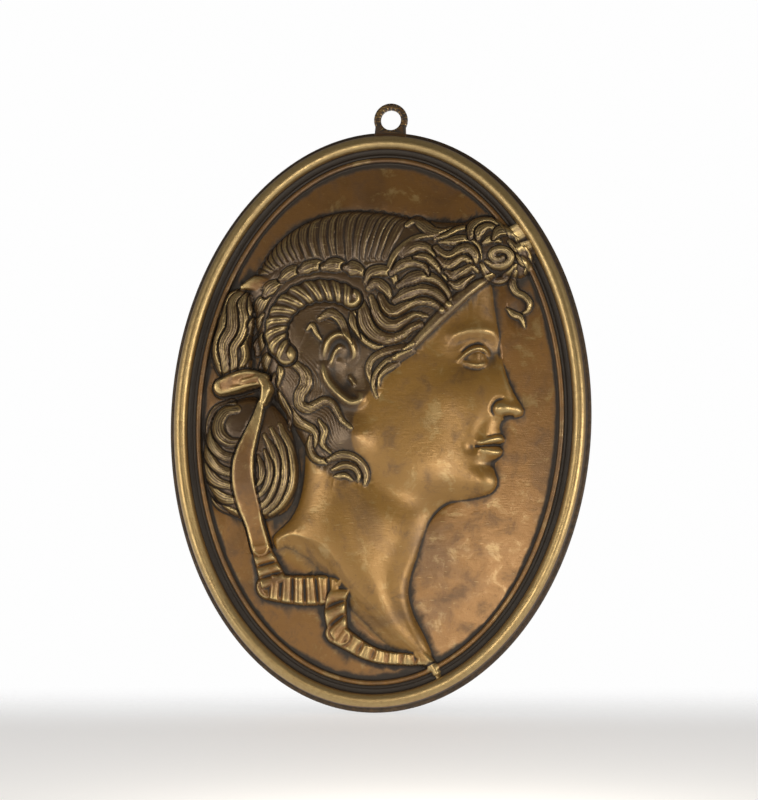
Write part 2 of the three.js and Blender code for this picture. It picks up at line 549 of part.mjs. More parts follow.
// An oval patch of the front or back. Returns its border as a ring.
function patch(inset, heightAt, { cells, triangles }, flip) {
  const place = (u, v) => {
    const [X, Z] = [2 * u - 1, 2 * v - 1];
    return [(HALF_WIDTH - inset) * X * Math.sqrt(1 - Z * Z / 2), (HALF_HEIGHT - inset) * Z * Math.sqrt(1 - X * X / 2)];
  };
  const side = cells + 1;
  const heights = softHeights((u, v) => heightAt(...place(u, v)), cells);
  const points = Array.from(heights, (h, k) => [...place((k % side) / cells, Math.floor(k / side) / cells), h]);
  const grid = [];
  for (let j = 0; j < cells; j++) {
    for (let i = 0; i < cells; i++) {
      const [a, b, c, d] = [j * side + i, j * side + i + 1, (j + 1) * side + i + 1, (j + 1) * side + i];
      const level = Math.abs(heights[a] - heights[c]) < Math.abs(heights[b] - heights[d]);
      grid.push(...(level ? [[a, b, c], [a, c, d]] : [[a, b, d], [b, c, d]]));
    }
  }
  const onBorder = (k) => k % side === 0 || k % side === cells || k < side || k >= side * cells;
  const kept = thin(points, grid, onBorder, triangles);
  const ids = new Map();
  const border = [];
  for (const k of new Set(kept.flat())) {
    const [x, z] = points[k];
    ids.set(k, corner(x, heights[k], z));
    if (!onBorder(k)) continue;
    const turn = Math.atan2(z / (HALF_HEIGHT - inset), x / (HALF_WIDTH - inset));
    border.push({ turn: turn < -1e-9 ? turn + 2 * Math.PI : Math.max(0, turn), id: ids.get(k) });
  }
  for (const triangle of kept) {
    const [p, q, r] = triangle.map((k) => ids.get(k));
    faces.push(flip ? [p, r, q] : [p, q, r]);
  }
  return border.sort((a, b) => a.turn - b.turn);
}

const arcSteps = (from, to, count) => Array.from({ length: count }, (_, i) => mix(from, to, i / (count - 1)));
const moulding = [
  [0, FLANGE.height - 0.5], [0.5, FLANGE.height], [FLANGE.width - 0.15, FLANGE.height],
  ...arcSteps(190, -8, 8).map((deg) => {
    const turn = THREE.MathUtils.degToRad(deg);
    return [TORUS.inset + TORUS.radius * Math.cos(turn), TORUS.centreHeight + TORUS.radius * Math.sin(turn)];
  }),
  [COVE.inset, COVE.height], [BEAD.inset - BEAD.radius - 0.2, BEAD.centreHeight - 0.1],
  ...arcSteps(160, 20, 3).map((deg) => {
    const turn = THREE.MathUtils.degToRad(deg);
    return [BEAD.inset + BEAD.radius * Math.cos(turn), BEAD.centreHeight + BEAD.radius * Math.sin(turn)];
  }),
];

// The back follows the bust at the wall's thickness, level with the wall plane under the rim.
const hollow = (x, z) => {
  const edge = 1 - (x / (HALF_WIDTH - HOLLOW.inset)) ** 2 - (z / (HALF_HEIGHT - HOLLOW.inset)) ** 2;
  if (edge < 1e-6) return 0;
  const behind = Math.max(0, bust(x, z, fieldHeight(x, z)) - HOLLOW.wall);
  return Math.min(clamp01(edge * HOLLOW.slope) * HOLLOW.depth, behind);
};

let previous = ring(0, () => 0);
const backEdge = previous;
for (const [inset, height] of moulding) {
  const over = inset > COVE.inset - 0.5;
  const next = ring(inset, (x, z) => (over ? Math.max(height, tipOfBust(x, z, 0, 4)) : height));
  stitch(previous, next, false);
  previous = next;
}
stitch(previous, patch(FIELD.inset, relief, FRONT, false), false);
stitch(backEdge, patch(HOLLOW.inset, hollow, BACK, true), true);

const plate = new THREE.BufferGeometry();
plate.setAttribute('position', new THREE.Float32BufferAttribute(positions, 3));
plate.setIndex(faces.flat());

// ---- hanging eye ----
function eyeGeometry() {
  const shape = new THREE.Shape();
  const foot = EYE.footWidth / 2 - EYE.bevel;
  const outer = EYE.outer - EYE.bevel;
  shape.moveTo(-foot, -EYE.outer - EYE.footDepth);
  shape.lineTo(foot, -EYE.outer - EYE.footDepth);
  shape.lineTo(foot, -EYE.outer + 1);
  shape.lineTo(outer * Math.cos(-0.7), outer * Math.sin(-0.7));
  shape.absarc(0, 0, outer, -0.7, Math.PI + 0.7, false);
  shape.lineTo(-foot, -EYE.outer + 1);
  shape.closePath();
  shape.holes.push(new THREE.Path().absarc(0, 0, EYE.hole + EYE.bevel, 0, 2 * Math.PI, true));
  const solid = new THREE.ExtrudeGeometry(shape, {
    depth: EYE.thickness - 2 * EYE.bevel, bevelThickness: EYE.bevel, bevelSize: EYE.bevel, bevelSegments: 2,
    curveSegments: 12,
  });
  solid.rotateX(Math.PI / 2);
  solid.translate(0, -EYE.bevel, 0);
  return solid;
}

// ---- join and hand over ----
const wasm = await Module();
wasm.setup();

function toManifold(geometry) {
  geometry.deleteAttribute('normal');
  geometry.deleteAttribute('uv');
  const merged = mergeVertices(geometry, 1e-4);
  return new wasm.Manifold(new wasm.Mesh({
    numProp: 3,
    vertProperties: new Float32Array(merged.attributes.position.array),
    triVerts: new Uint32Array(merged.index.array),
  }));
}

const { vertProperties, triVerts } = toManifold(plate).add(toManifold(eyeGeometry())).getMesh();
const casting = new THREE.BufferGeometry();
casting.setAttribute('position', new THREE.BufferAttribute(vertProperties, 3));
casting.setIndex(new THREE.BufferAttribute(triVerts, 1));
casting.computeVertexNormals();

const brass = new THREE.MeshStandardMaterial({ color: 0x8a6a35, roughness: 0.38, metalness: 0.9 });
const plaque = new THREE.Mesh(casting, brass);
plaque.name = 'relief_plaque';

const part = new THREE.Group();
part.add(plaque);

export default part;
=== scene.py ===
"""Oval brass relief plaque: the looks of one casting, built round its construction model.

Laid out as an add-on: properties, one operator for each stage of the work, a panel, and a main function that
runs the operators in order. Blender lengths are metres. The carving is worked out on a sheet of heights in
millimetres: x to the right and z up from the oval's centre, and the height is the distance off the wall.
"""

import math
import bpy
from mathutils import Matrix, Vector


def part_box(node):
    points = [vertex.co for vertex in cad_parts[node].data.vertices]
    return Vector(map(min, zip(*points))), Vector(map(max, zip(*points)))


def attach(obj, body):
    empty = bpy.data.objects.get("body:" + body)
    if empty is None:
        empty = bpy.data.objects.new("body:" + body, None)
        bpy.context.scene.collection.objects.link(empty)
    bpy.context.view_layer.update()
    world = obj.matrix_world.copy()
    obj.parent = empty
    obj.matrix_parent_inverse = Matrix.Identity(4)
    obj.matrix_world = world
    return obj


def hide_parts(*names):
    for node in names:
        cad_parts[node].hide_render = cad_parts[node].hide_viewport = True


bl_info = {
    "name": "Relief plaque",
    "version": (1, 0, 0),
    "blender": (4, 5, 0),
    "location": "3D View > Sidebar > Plaque",
    "description": "Builds an oval brass plaque with a head in profile, a moulded rim and a hanging eye",
    "category": "Add Mesh",
}

import bmesh
import bpy
import numpy as np
from mathutils import Matrix, Vector

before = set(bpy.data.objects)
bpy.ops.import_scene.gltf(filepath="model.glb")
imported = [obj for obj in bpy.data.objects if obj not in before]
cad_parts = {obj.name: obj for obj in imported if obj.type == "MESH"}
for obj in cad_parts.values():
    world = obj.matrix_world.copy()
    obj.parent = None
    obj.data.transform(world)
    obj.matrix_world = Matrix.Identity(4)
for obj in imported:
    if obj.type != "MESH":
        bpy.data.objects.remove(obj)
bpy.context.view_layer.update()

NODE = "relief_plaque"
BODY = "root"
MM = 0.001
NODE_LOW, NODE_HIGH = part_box(NODE)


# ---------------------------------------------------------------- sizes and colours a user would change

def length(name, description, default):
    return bpy.props.FloatProperty(name=name, description=description, unit="LENGTH", default=default)


def number(name, description, default):
    return bpy.props.IntProperty(name=name, description=description, default=default)


def colour(name, description, *rgb):
    return bpy.props.FloatVectorProperty(
        name=name, description=description, subtype="COLOR", size=4, default=(*rgb, 1))


def strength(name, description, default):
    return bpy.props.FloatProperty(name=name, description=description, default=default)


class PlaqueSizes(bpy.types.PropertyGroup):
    """Driving sizes of the casting, taken from the construction model where it gives them."""

    half_width: length("Half width", "Half the width of the oval", (NODE_HIGH.x - NODE_LOW.x) / 2)
    half_height: length("Half height", "Half the height of the oval", 0.120)
    eye_radius: length("Eye radius", "Outer radius of the hanging eye", 0.0070)
    eye_hole: length("Eye hole", "Radius of the hole in the hanging eye", 0.0042)
    eye_thickness: length("Eye thickness", "Thickness of the hanging eye", 0.0032)
    rim_segments: number("Rim segments", "Steps round the moulded rim", 480)
    sheet_step: length("Sheet step", "Spacing of the sheet of heights", 0.0003)
    relief_cells: number("Relief cells", "Cells across the carved panel before it is thinned", 440)
    triangles: number("Triangles", "Triangles left in the casting once it is thinned", 186000)


class PatinaColours(bpy.types.PropertyGroup):
    """Colours of the aged brass, from rubbed metal to dirt and painted shade."""

    rubbed: colour("Rubbed brass", "Bright brass on ridges and the rim", 0.50, 0.37, 0.16)
    skin: colour("Golden patina", "Patina of the face and neck", 0.30, 0.155, 0.026)
    field: colour("Red-brown patina", "Patina of the field behind the head", 0.25, 0.115, 0.018)
    # Umber also paints shade over the upper part of the casting.
    umber: colour("Umber", "Darker patches of the patina", 0.09, 0.042, 0.012)
    hair: colour("Hair patina", "Dark patina of the ground between the locks", 0.06, 0.035, 0.016)
    # The darkest colour paints old dirt and also painted shade in the recesses.
    dirt_and_shade: colour("Dirt", "Old dirt in the recesses", 0.022, 0.014, 0.008)


class StudioSettings(bpy.types.PropertyGroup):
    """The plain floor, the backdrop and the strength of the lamps."""

    floor_tone: colour("Floor", "Colour of the pale floor", 0.86, 0.86, 0.87)
    floor_glow: strength("Floor glow", "Light that the pale floor gives off", 0.5)
    key_power: strength("Key", "Power of the lamp on the left", 1.8)
    fill_power: strength("Fill", "Power of the lamp on the right", 2.6)
    sheen_power: strength("Sheen", "Power of the small lamp that puts a sheen on the lower field", 0.30)
    sky: strength("Surround", "Brightness of the pale surround", 1.0)


SIZES = {name: prop.keywords["default"] for name, prop in PlaqueSizes.__annotations__.items()}
HALF_W = SIZES["half_width"] / MM
HALF_H = SIZES["half_height"] / MM
CENTRE_Z = NODE_LOW.z / MM + HALF_H

# The field is domed: low at its edge, high at its centre, with the power of its fall.
FIELD_INSET, FIELD_EDGE, FIELD_CENTRE, FIELD_FALL = 13.5, 3.2, 4.8, 1.6
SHEET_INSET = 6
# The hollow back follows the relief a wall's thickness behind it, as far as its depth allows.
BACK_INSET, BACK_CELLS, WALL, HOLLOW_DEPTH, HOLLOW_SLOPE = 11.0, 56, 3.5, 6.5, 4


# ---------------------------------------------------------------- the sheet of heights

def mix(a, b, t):
    return a + (b - a) * t


def clamp01(t):
    return np.clip(t, 0.0, 1.0)


def smooth(t):
    t = clamp01(t)
    return t * t * (3 - 2 * t)


def arch(t):
    """A quarter circle: steep at 0, level at 1."""
    return np.sqrt(1 - (1 - clamp01(t)) ** 2)


def spline(points, per_span=8, closed=False):
    """A smooth curve through the points."""
    p = np.array(points, float)
    if closed:
        ring = np.arange(len(p))
        corners = [p[(ring + k) % len(p)] for k in (-1, 0, 1, 2)]
    else:
        e = np.vstack([2 * p[0] - p[1], p, 2 * p[-1] - p[-2]])
        corners = [e[:-3], e[1:-2], e[2:-1], e[3:]]
    a, b, c, d = (v[:, None, :] for v in corners)
    t = (np.arange(per_span) / per_span)[None, :, None]
    curve = 0.5 * (2 * b + (c - a) * t + (2 * a - 5 * b + 4 * c - d) * t ** 2
                   + (3 * b - a - 3 * c + d) * t ** 3)
    curve = curve.reshape(-1, 2)
    return curve if closed else np.vstack([curve, p[-1]])


def arc(x0, z0, wide, high, start, end, count=6, lean=0.0):
    """Points on part of an oval, from one angle to another in degrees."""
    turns = np.radians(np.linspace(start, end, count))
    z = high * np.sin(turns)
    return list(zip(x0 + wide * np.cos(turns) + lean * z, z0 + z))


def nearest(path, X, Z):
    """How far along a path each place lies (0 to 1), and how far to its left in millimetres."""
    best = np.full(X.shape, 1e12)
    along = np.zeros(X.shape)
    side = np.ones(X.shape)
    steps = path[1:] - path[:-1]
    lengths = np.hypot(steps[:, 0], steps[:, 1])
    starts = np.concatenate([[0], np.cumsum(lengths)])
    for k, (step, length) in enumerate(zip(steps, lengths)):
        px, pz = X - path[k, 0], Z - path[k, 1]
        t = clamp01((px * step[0] + pz * step[1]) / length ** 2)
        gap = (px - t * step[0]) ** 2 + (pz - t * step[1]) ** 2
        closer = gap < best
        best = np.where(closer, gap, best)
        along = np.where(closer, (starts[k] + t * length) / starts[-1], along)
        side = np.where(closer, np.where(step[0] * pz - step[1] * px < 0, -1.0, 1.0), side)
    return along, side * np.sqrt(best)


def inside(outline, X, Z):
    within = np.zeros(X.shape, bool)
    for a, b in zip(outline, np.roll(outline, 1, axis=0)):
        if a[1] != b[1]:
            within ^= ((a[1] > Z) != (b[1] > Z)) & (X < (b[0] - a[0]) * (Z - a[1]) / (b[1] - a[1]) + a[0])
    return within


def soft_distance(outline, X, Z):
    """A distance to the outline without creases: each stretch pulls with the cube of its nearness."""
    pull = np.zeros(X.shape)
    for a, b in zip(outline, np.roll(outline, -1, axis=0)):
        length = math.hypot(*(b - a))
        if length < 1e-9:
            continue
        u = (b - a) / length
        start = (a[0] - X) * u[0] + (a[1] - Z) * u[1]
        end = start + length
        off = np.maximum(0.03, np.abs((X - a[0]) * u[1] - (Z - a[1]) * u[0]))
        pull += (end / np.hypot(off, end) - start / np.hypot(off, start)) / off ** 2
    return np.sqrt(2 / np.maximum(pull, 1e-9))


def sample(grid, xs, zs, X, Z):
    """Values of a regular grid at any places, blended between its corners."""
    i = np.clip((X - xs[0]) / (xs[1] - xs[0]), 0, len(xs) - 1.001)
    j = np.clip((Z - zs[0]) / (zs[1] - zs[0]), 0, len(zs) - 1.001)
    i0, j0 = i.astype(int), j.astype(int)
    fi, fj = i - i0, j - j0
    low = grid[j0, i0] * (1 - fi) + grid[j0, i0 + 1] * fi
    high = grid[j0 + 1, i0] * (1 - fi) + grid[j0 + 1, i0 + 1] * fi
    return low * (1 - fj) + high * fj


def blur(a, sigma):
    """The grid averaged over a bell of the given size in cells."""
    reach = max(1, int(3 * sigma + 0.5))
    bell = np.exp(-0.5 * (np.arange(-reach, reach + 1) / sigma) ** 2)
    bell /= bell.sum()
    for axis in (0, 1):
        pad = [(reach, reach) if k == axis else (0, 0) for k in (0, 1)]
        wide = np.pad(a, pad, mode="edge")
        a = sum(k * np.take(wide, range(n, n + a.shape[axis]), axis) for n, k in enumerate(bell))
    return a


class Sheet:
    """Heights off the wall over a grid of places, and how much of each place is carved hair or cloth."""

    def __init__(self, step):
        half_x, half_z = HALF_W - SHEET_INSET, HALF_H - SHEET_INSET
        self.step = step
        self.xs = np.arange(-half_x, half_x + step, step)
        self.zs = np.arange(-half_z, half_z + step, step)
        self.X, self.Z = np.meshgrid(self.xs, self.zs)
        out = (self.X / (HALF_W - FIELD_INSET)) ** 2 + (self.Z / (HALF_H - FIELD_INSET)) ** 2
        self.field = mix(FIELD_CENTRE, FIELD_EDGE, np.minimum(out, 1.2) ** FIELD_FALL)
        self.h = self.field.copy()
        self.body = self.h
        self.carved = np.zeros_like(self.h)
        self.random = np.random.default_rng(7)

    def at(self, grid, x, z):
        """Values of one of the sheet's grids at any places."""
        return sample(grid, self.xs, self.zs, x, z)

    def window(self, points, margin):
        low, high = points.min(0) - margin, points.max(0) + margin
        i0, i1 = np.searchsorted(self.xs, [low[0], high[0]])
        j0, j1 = np.searchsorted(self.zs, [low[1], high[1]])
        return slice(j0, j1), slice(i0, i1)

    def settle(self):
        """Takes the heights so far as the body that later carving sits on."""
        self.body = self.h.copy()

    def dome(self, points, foot, top, edge, per_span=6):
        """A swelling body with a rounded edge. Returns its soft distance to the outline, 0 outside."""
        outline = spline(points, per_span, closed=True)
        w = self.window(outline, 1.0)
        X, Z = self.X[w], self.Z[w]
        coarse = soft_distance(outline, X[::2, ::2], Z[::2, ::2])
        depth = sample(coarse, X[0, ::2], Z[::2, 0], X, Z)
        within = inside(outline, X, Z)
        height = mix(foot, top, arch(depth / edge))
        self.h[w] = np.where(within, np.maximum(self.h[w], height), self.h[w])
        inner = np.zeros_like(self.h)
        inner[w] = np.where(within, depth, 0)
        return inner

    def lock(self, route, width=4.0, tip=0.4, lift=1.5, spacing=1.0, sink=0.6, cut=0.5, root=0.5, wobble=0.1,
             halo=0.25):
        """A tapering lock of hair cut into fine strands, with a shallow groove round it."""
        rnd = self.random.uniform
        path = spline(route)
        w = self.window(path, width)
        along, across = nearest(path, self.X[w], self.Z[w])
        taper = mix(1, tip, along ** 2.2) * mix(root, 1, smooth(along * 3.5))
        taper = taper * (1 + wobble * np.sin(along * rnd(5, 9) + rnd(0, 6)))
        q = 2 * across / (width * taper)
        edge = np.abs(q)
        body, h = self.body[w], self.h[w]
        strands = max(2, round(width / spacing))
        strand = (q + 0.1 * np.sin(along * rnd(3, 6) + rnd(0, 6)) + 1) / 2 * strands
        cell = np.clip(strand.astype(int), 0, strands - 1)
        ridge = np.abs(strand - cell - 0.5) * 2
        level = rnd(-0.45, 0.45, strands)[cell] * np.cos(along * rnd(2, 5, strands)[cell] + rnd(0, 6))
        swell = mix(0.55, 1.0, np.sin(np.pi * clamp01(along)) ** 0.7)
        crown = body + lift * (0.15 + 0.85 * np.sqrt(np.clip(1 - edge ** 2, 0, 1))) * swell
        top = crown - cut * (ridge ** 1.8 - level)
        groove = body - sink * (1 - smooth((edge - 1) / halo))
        h = np.where((edge >= 1) & (edge < 1 + halo), np.minimum(h, groove), h)
        self.h[w] = np.where(edge < 1, top, h)
        self.carved[w] = np.maximum(self.carved[w], (edge < 1 + halo) * 1.0)

    def locks(self, table, **how):
        """Several locks: each row gives the width and the route."""
        for width, *route in table:
            self.lock(route, width=width, **how)

    def comb(self, route, reach, spacing=1.1, depth=0.3, where=None):
        """Shallow parallel grooves on both sides of a route, dying out with distance."""
        path = spline(route)
        w = self.window(path, reach)
        along, across = nearest(path, self.X[w], self.Z[w])
        phase = across / spacing + 0.5 * np.sin(5 * along + 0.4 * across)
        groove = (np.abs(phase - np.floor(phase) - 0.5) * 2) ** 1.6
        fade = smooth((reach - np.abs(across)) / (0.5 * reach)) * smooth(along / 0.15) * smooth((1 - along) / 0.15)
        self.h[w] -= depth * groove * fade * (1 if where is None else where[w])

    def band(self, route, widths, height=None, lift=0.0, pleats=0, depth=0.8, flat=0.7, lip=0.0, skew=0.0,
             undercut=0.0, cloth=0.25):
        """A smooth raised band that may be folded into pleats."""
        path = spline(route)
        w = self.window(path, max(widths))
        along, across = nearest(path, self.X[w], self.Z[w])
        q = 2 * across / np.interp(along, np.linspace(0, 1, len(widths)), widths)
        edge = np.abs(q)
        body, h = self.body[w], self.h[w]
        crown = np.interp(along, np.linspace(0, 1, len(height)), height) if height else body + lift
        if pleats:
            turn = 2 * np.pi * (pleats * along + skew * q)
            crown = crown - depth * (0.5 + 0.5 * np.cos(turn + 0.7 * np.sin(turn)))
        crown = crown + lip * np.exp(-((edge - 0.84) / 0.1) ** 2)
        top = crown - np.minimum(crown - body, 9) * clamp01((edge - flat) / (1 - flat)) ** 3
        if undercut:
            beside = (edge >= 1) & (edge < 1 + 1.6 / max(widths))
            h = np.where(beside, np.minimum(h, np.maximum(h - undercut, 2.0)), h)
            self.h[w] = np.where(edge < 1, top, h)
        else:
            self.h[w] = np.where(edge < 1, np.maximum(h, top), h)
        self.carved[w] = np.where(edge < 1, cloth, self.carved[w])

    def swell(self, x0, z0, long, short=None, turn=0.0, lift=1.0, within=None, power=1.0):
        """A soft oval swelling, or a hollow where the lift is negative."""
        short = short or long
        c, s = math.cos(math.radians(turn)), math.sin(math.radians(turn))
        w = self.window(np.array([[x0, z0]]), 3.2 * max(long, short))
        X, Z = self.X[w] - x0, self.Z[w] - z0
        bell = np.exp(-(((X * c + Z * s) / long) ** 2 + ((Z * c - X * s) / short) ** 2) ** power)
        self.h[w] += lift * bell * (1 if within is None else within[w])

    def crease(self, route, width, lift, within=None, fade=0.5):
        """A smooth ridge or groove along a route, dying out at both ends."""
        path = spline(route)
        w = self.window(path, width * 2.2)
        along, across = nearest(path, self.X[w], self.Z[w])
        amount = (smooth(along / 0.3) * smooth((1 - along) / 0.3)) ** fade
        bell = np.exp(-(2 * across / width) ** 2)
        self.h[w] += lift * amount * bell * (1 if within is None else within[w])


# ---------------------------------------------------------------- the head

# The head is three and a half units from crown to chin, and each feature stands at its canon height.
CROWN, UNIT, FACE = 84.0, 33.0, 48.5
BROW, EYE, NOSE = CROWN - 1.5 * UNIT, CROWN - 1.75 * UNIT, CROWN - 2.5 * UNIT
MOUTH, CHIN = NOSE - UNIT / 3, CROWN - 3.5 * UNIT


def profile():
    """The face in profile from hairline to chin: steps forward of the face plane at canon heights."""
    forehead = [(-4.5, BROW + 26), (-1.8, BROW + 13), (0.6, BROW + 1), (0.9, EYE + 4.5)]
    nose = [(2.4, EYE - 2), (5.8, EYE - 11), (10.2, NOSE + 6.2), (11.5, NOSE + 3.4), (10.6, NOSE + 1.2),
            (7.6, NOSE - 0.1), (3.6, NOSE - 0.8)]
    lips = [(2.2, NOSE - 3.6), (3.2, NOSE - 6.6), (4.3, MOUTH + 2.6), (3.6, MOUTH + 0.7), (2.0, MOUTH),
            (3.3, MOUTH - 1.2), (3.4, MOUTH - 3.4), (1.2, MOUTH - 6)]
    chin = [(0.0, MOUTH - 8.2), (1.5, CHIN + 8.8), (1.6, CHIN + 5.5), (-0.8, CHIN + 2), (-6, CHIN - 0.2)]
    return [(FACE + forward, z) for forward, z in forehead + nose + lips + chin]


NECK_FRONT = [(37, -33), (31, -34.4), (26.8, -37.2), (23.2, -42), (20.6, -49), (18.4, -57), (16.2, -65),
              (15.8, -72), (18.2, -80), (22.2, -87.5), (25.4, -95)]
CUT_RIDGE = [(-41, -47.3), (-37.5, -46.6), (-33, -47.4), (-28, -50), (-20, -56), (-9.5, -69.2), (0, -78.7),
             (11, -88.7), (24.8, -97)]
CUT_FOOT = [(25.5, -99), (8, -94), (-8, -82), (-20, -70), (-31, -62.5), (-39.8, -56), (-42.5, -49.5)]
BACK_OF_HEAD = [(-36, -42), (-32.5, -34), (-31, -22), (-32, -10), (-38, 8), (-46, 34), (-40, 58), (-18, 76),
                (10, 80), (34, 74)]
HAIR = [(-52, 60), (-49, 65.5), (-44.4, 72.6), (-37, 78.8), (-28, 83.3), (-15, 86.3), (0, 85.6), (9, 84),
        (20, 82.8), (31, 82.4), (37, 84.6), (43, 84.8), (50, 82), (56, 77.5), (60.5, 71), (60.6, 65), (57, 60),
        (50, 60.5), (46, 60), (36.4, 54), (28, 46.8), (19.8, 38), (11.5, 28), (3, 19), (-4, 9), (-9, 0),
        (-9, -12), (-4, -18), (-3.5, -26), (-10, -26.5), (-24, -22), (-32, -10), (-39, 2), (-46, 10),
        (-50, 24), (-53, 40), (-57, 52)]
SIDE_HAIR = [(-60, 52.6), (-64.6, 50.6), (-67, 43), (-70, 32), (-70, 24), (-66.5, 16.5), (-60, 14),
             (-54, 18), (-54, 30), (-52.5, 42), (-54.5, 50.5)]
BUN = [(-60, 6), (-67, 2), (-71, -9), (-72, -19), (-70, -28), (-64, -37), (-55, -43), (-44, -42.4),
       (-36, -38.5), (-32, -29), (-32.6, -18), (-36, -5), (-44, 5), (-52, 8)]


def shape_bodies(sheet):
    """The smooth masses under the carving. Returns how far each place is inside the bust's outline."""
    bust = sheet.dome(profile() + NECK_FRONT + CUT_FOOT + BACK_OF_HEAD, 2.2, 10.6, 21, per_span=5)
    hair = [sheet.dome(HAIR, 3.0, 11.0, 15), sheet.dome(SIDE_HAIR, 3.4, 9.4, 7), sheet.dome(BUN, 3.2, 10.6, 11)]
    sheet.carved = np.maximum.reduce([smooth(depth / 1.2) for depth in hair])
    return bust


def cut_neck(sheet, bust):
    """The neck ends in a raised edge, and below it the cut slopes back to the field."""
    ridge = spline(CUT_RIDGE)
    w = sheet.window(ridge, 14)
    along, across = nearest(ridge, sheet.X[w], sheet.Z[w])
    level = mix(8.8, 6.4, along) + 0.5 * np.exp(-(across / 1.3) ** 2)
    on_bust = (bust[w] > 0) & (sheet.X[w] < 30)
    cut = np.maximum(level + across * 0.6, sheet.field[w])
    neck = level + across * 0.8
    limit = np.where(across < 0, cut, neck)
    sheet.h[w] = np.where(on_bust, np.minimum(sheet.h[w], limit), sheet.h[w])


def model_eye(sheet, skin):
    x, z = FACE - 8.6, EYE
    sheet.swell(FACE - 3.0, EYE + 0.5, 5.0, 6.0, lift=-2.4, within=skin)
    sheet.swell(x - 1.5, z - 0.3, 8.5, 5.8, turn=8, lift=-2.2, within=skin)
    sheet.swell(x + 0.6, z, 4.0, 3.9, lift=2.2, within=skin, power=1.3)
    brow = [(FACE + 0.4, BROW + 0.4), (FACE - 5, BROW + 2.6), (FACE - 13, BROW + 2.2), (FACE - 22, BROW - 2)]
    under_brow = [(FACE - 1, BROW - 1.6), (FACE - 7, BROW - 0.8), (FACE - 14, BROW - 1.8), (FACE - 20, BROW - 5)]
    upper_lid = [(x + 4.4, z + 0.4), (x + 3.4, z + 2.8), (x + 0.6, z + 3.7), (x - 3.2, z + 2.2),
                 (x - 6.4, z - 0.6), (x - 8.4, z - 2.4)]
    lower_lid = [(x + 4.0, z - 1.6), (x + 1.6, z - 3.2), (x - 2.2, z - 3.2), (x - 6, z - 1.8)]
    sheet.crease(brow, 5.0, 1.3, skin)
    sheet.crease(under_brow, 4.6, -1.0, skin)
    sheet.crease(upper_lid, 1.9, 1.4, skin, fade=0.35)
    sheet.crease([(a - 0.8, b + 2.1) for a, b in upper_lid[1:5]], 1.4, -0.8, skin)
    sheet.crease([(a - 0.2, b - 1.2) for a, b in upper_lid[:5]], 0.9, -0.6, skin)
    sheet.crease(lower_lid, 1.6, 0.9, skin, fade=0.35)
    sheet.crease([(a - 0.6, b - 1.9) for a, b in lower_lid], 2.0, -0.5, skin)
    sheet.crease(arc(x + 3.4, z + 0.2, 1.8, 2.6, 110, 250, 5), 0.8, -0.35, skin)


def model_nose(sheet, skin):
    sheet.crease([(FACE + 0.4, EYE + 3), (FACE + 3, EYE - 7), (FACE + 7.2, NOSE + 8)], 5.5, 1.1, skin)
    sheet.swell(FACE + 8.2, NOSE + 4.0, 3.4, 3.0, lift=0.9, within=skin)
    sheet.swell(FACE + 2.4, NOSE + 3.6, 3.6, 2.9, lift=1.9, within=skin, power=1.4)
    wing = [(FACE + 3.4, NOSE + 8.4), (FACE - 0.4, NOSE + 7), (FACE - 2, NOSE + 3.4), (FACE - 0.4, NOSE + 0.2)]
    sheet.crease(wing, 1.9, -1.1, skin)
    sheet.crease([(FACE + 2.2, NOSE + 0.5), (FACE + 4.8, NOSE + 1.1), (FACE + 7.4, NOSE + 0.9)], 1.5, -1.5, skin)
    sheet.crease([(FACE - 3, NOSE + 2), (FACE - 6.5, NOSE - 4), (FACE - 8.5, MOUTH + 1)], 4.5, -0.5, skin)


def model_mouth(sheet, skin):
    upper = [(FACE + 4.4, MOUTH + 3), (FACE + 0.4, MOUTH + 2.5), (FACE - 4, MOUTH + 1.2),
             (FACE - 7.6, MOUTH - 0.4)]
    lower = [(FACE + 3.8, MOUTH - 2.6), (FACE, MOUTH - 3.2), (FACE - 4, MOUTH - 2.6), (FACE - 6.8, MOUTH - 1.4)]
    parting = [(FACE + 3.5, MOUTH + 0.1), (FACE - 0.5, MOUTH + 0.1), (FACE - 4.5, MOUTH - 0.5),
               (FACE - 8.6, MOUTH - 0.9)]
    sheet.crease(upper, 3.0, 1.3, skin, fade=0.4)
    sheet.crease(lower, 3.4, 1.4, skin, fade=0.4)
    sheet.crease(parting, 1.3, -1.8, skin, fade=0.3)
    sheet.crease([(FACE + 3.2, MOUTH + 5), (FACE - 0.4, MOUTH + 4.4), (FACE - 4, MOUTH + 3.2)], 1.4, -0.5, skin)
    sheet.swell(FACE - 9.3, MOUTH - 1.2, 2.4, lift=-1.1, within=skin)
    sheet.swell(FACE - 1, MOUTH - 7.6, 5.6, 2.1, turn=6, lift=-1.2, within=skin)
    sheet.swell(FACE - 4.2, CHIN + 7, 6.4, 5.2, lift=1.3, within=skin)


def model_cheek_and_neck(sheet, skin):
    sheet.swell(14, -2, 26, 24, lift=0.9, within=skin)
    sheet.swell(FACE - 21, NOSE + 8, 13, 9, turn=-28, lift=0.8, within=skin)
    sheet.crease([(-9, -8), (-4, -20), (6, -29), (20, -34.5), (36, CHIN - 3)], 17, -1.9, skin)
    sheet.crease([(-24, -38), (-12, -52), (2, -68), (14, -84)], 18, 0.7, skin)
    sheet.crease([(22, -42), (17, -56), (13, -68), (16, -82), (22, -93)], 5, 0.5, skin)
    sheet.swell(-9, -8, 6, 9, turn=35, lift=1.6)


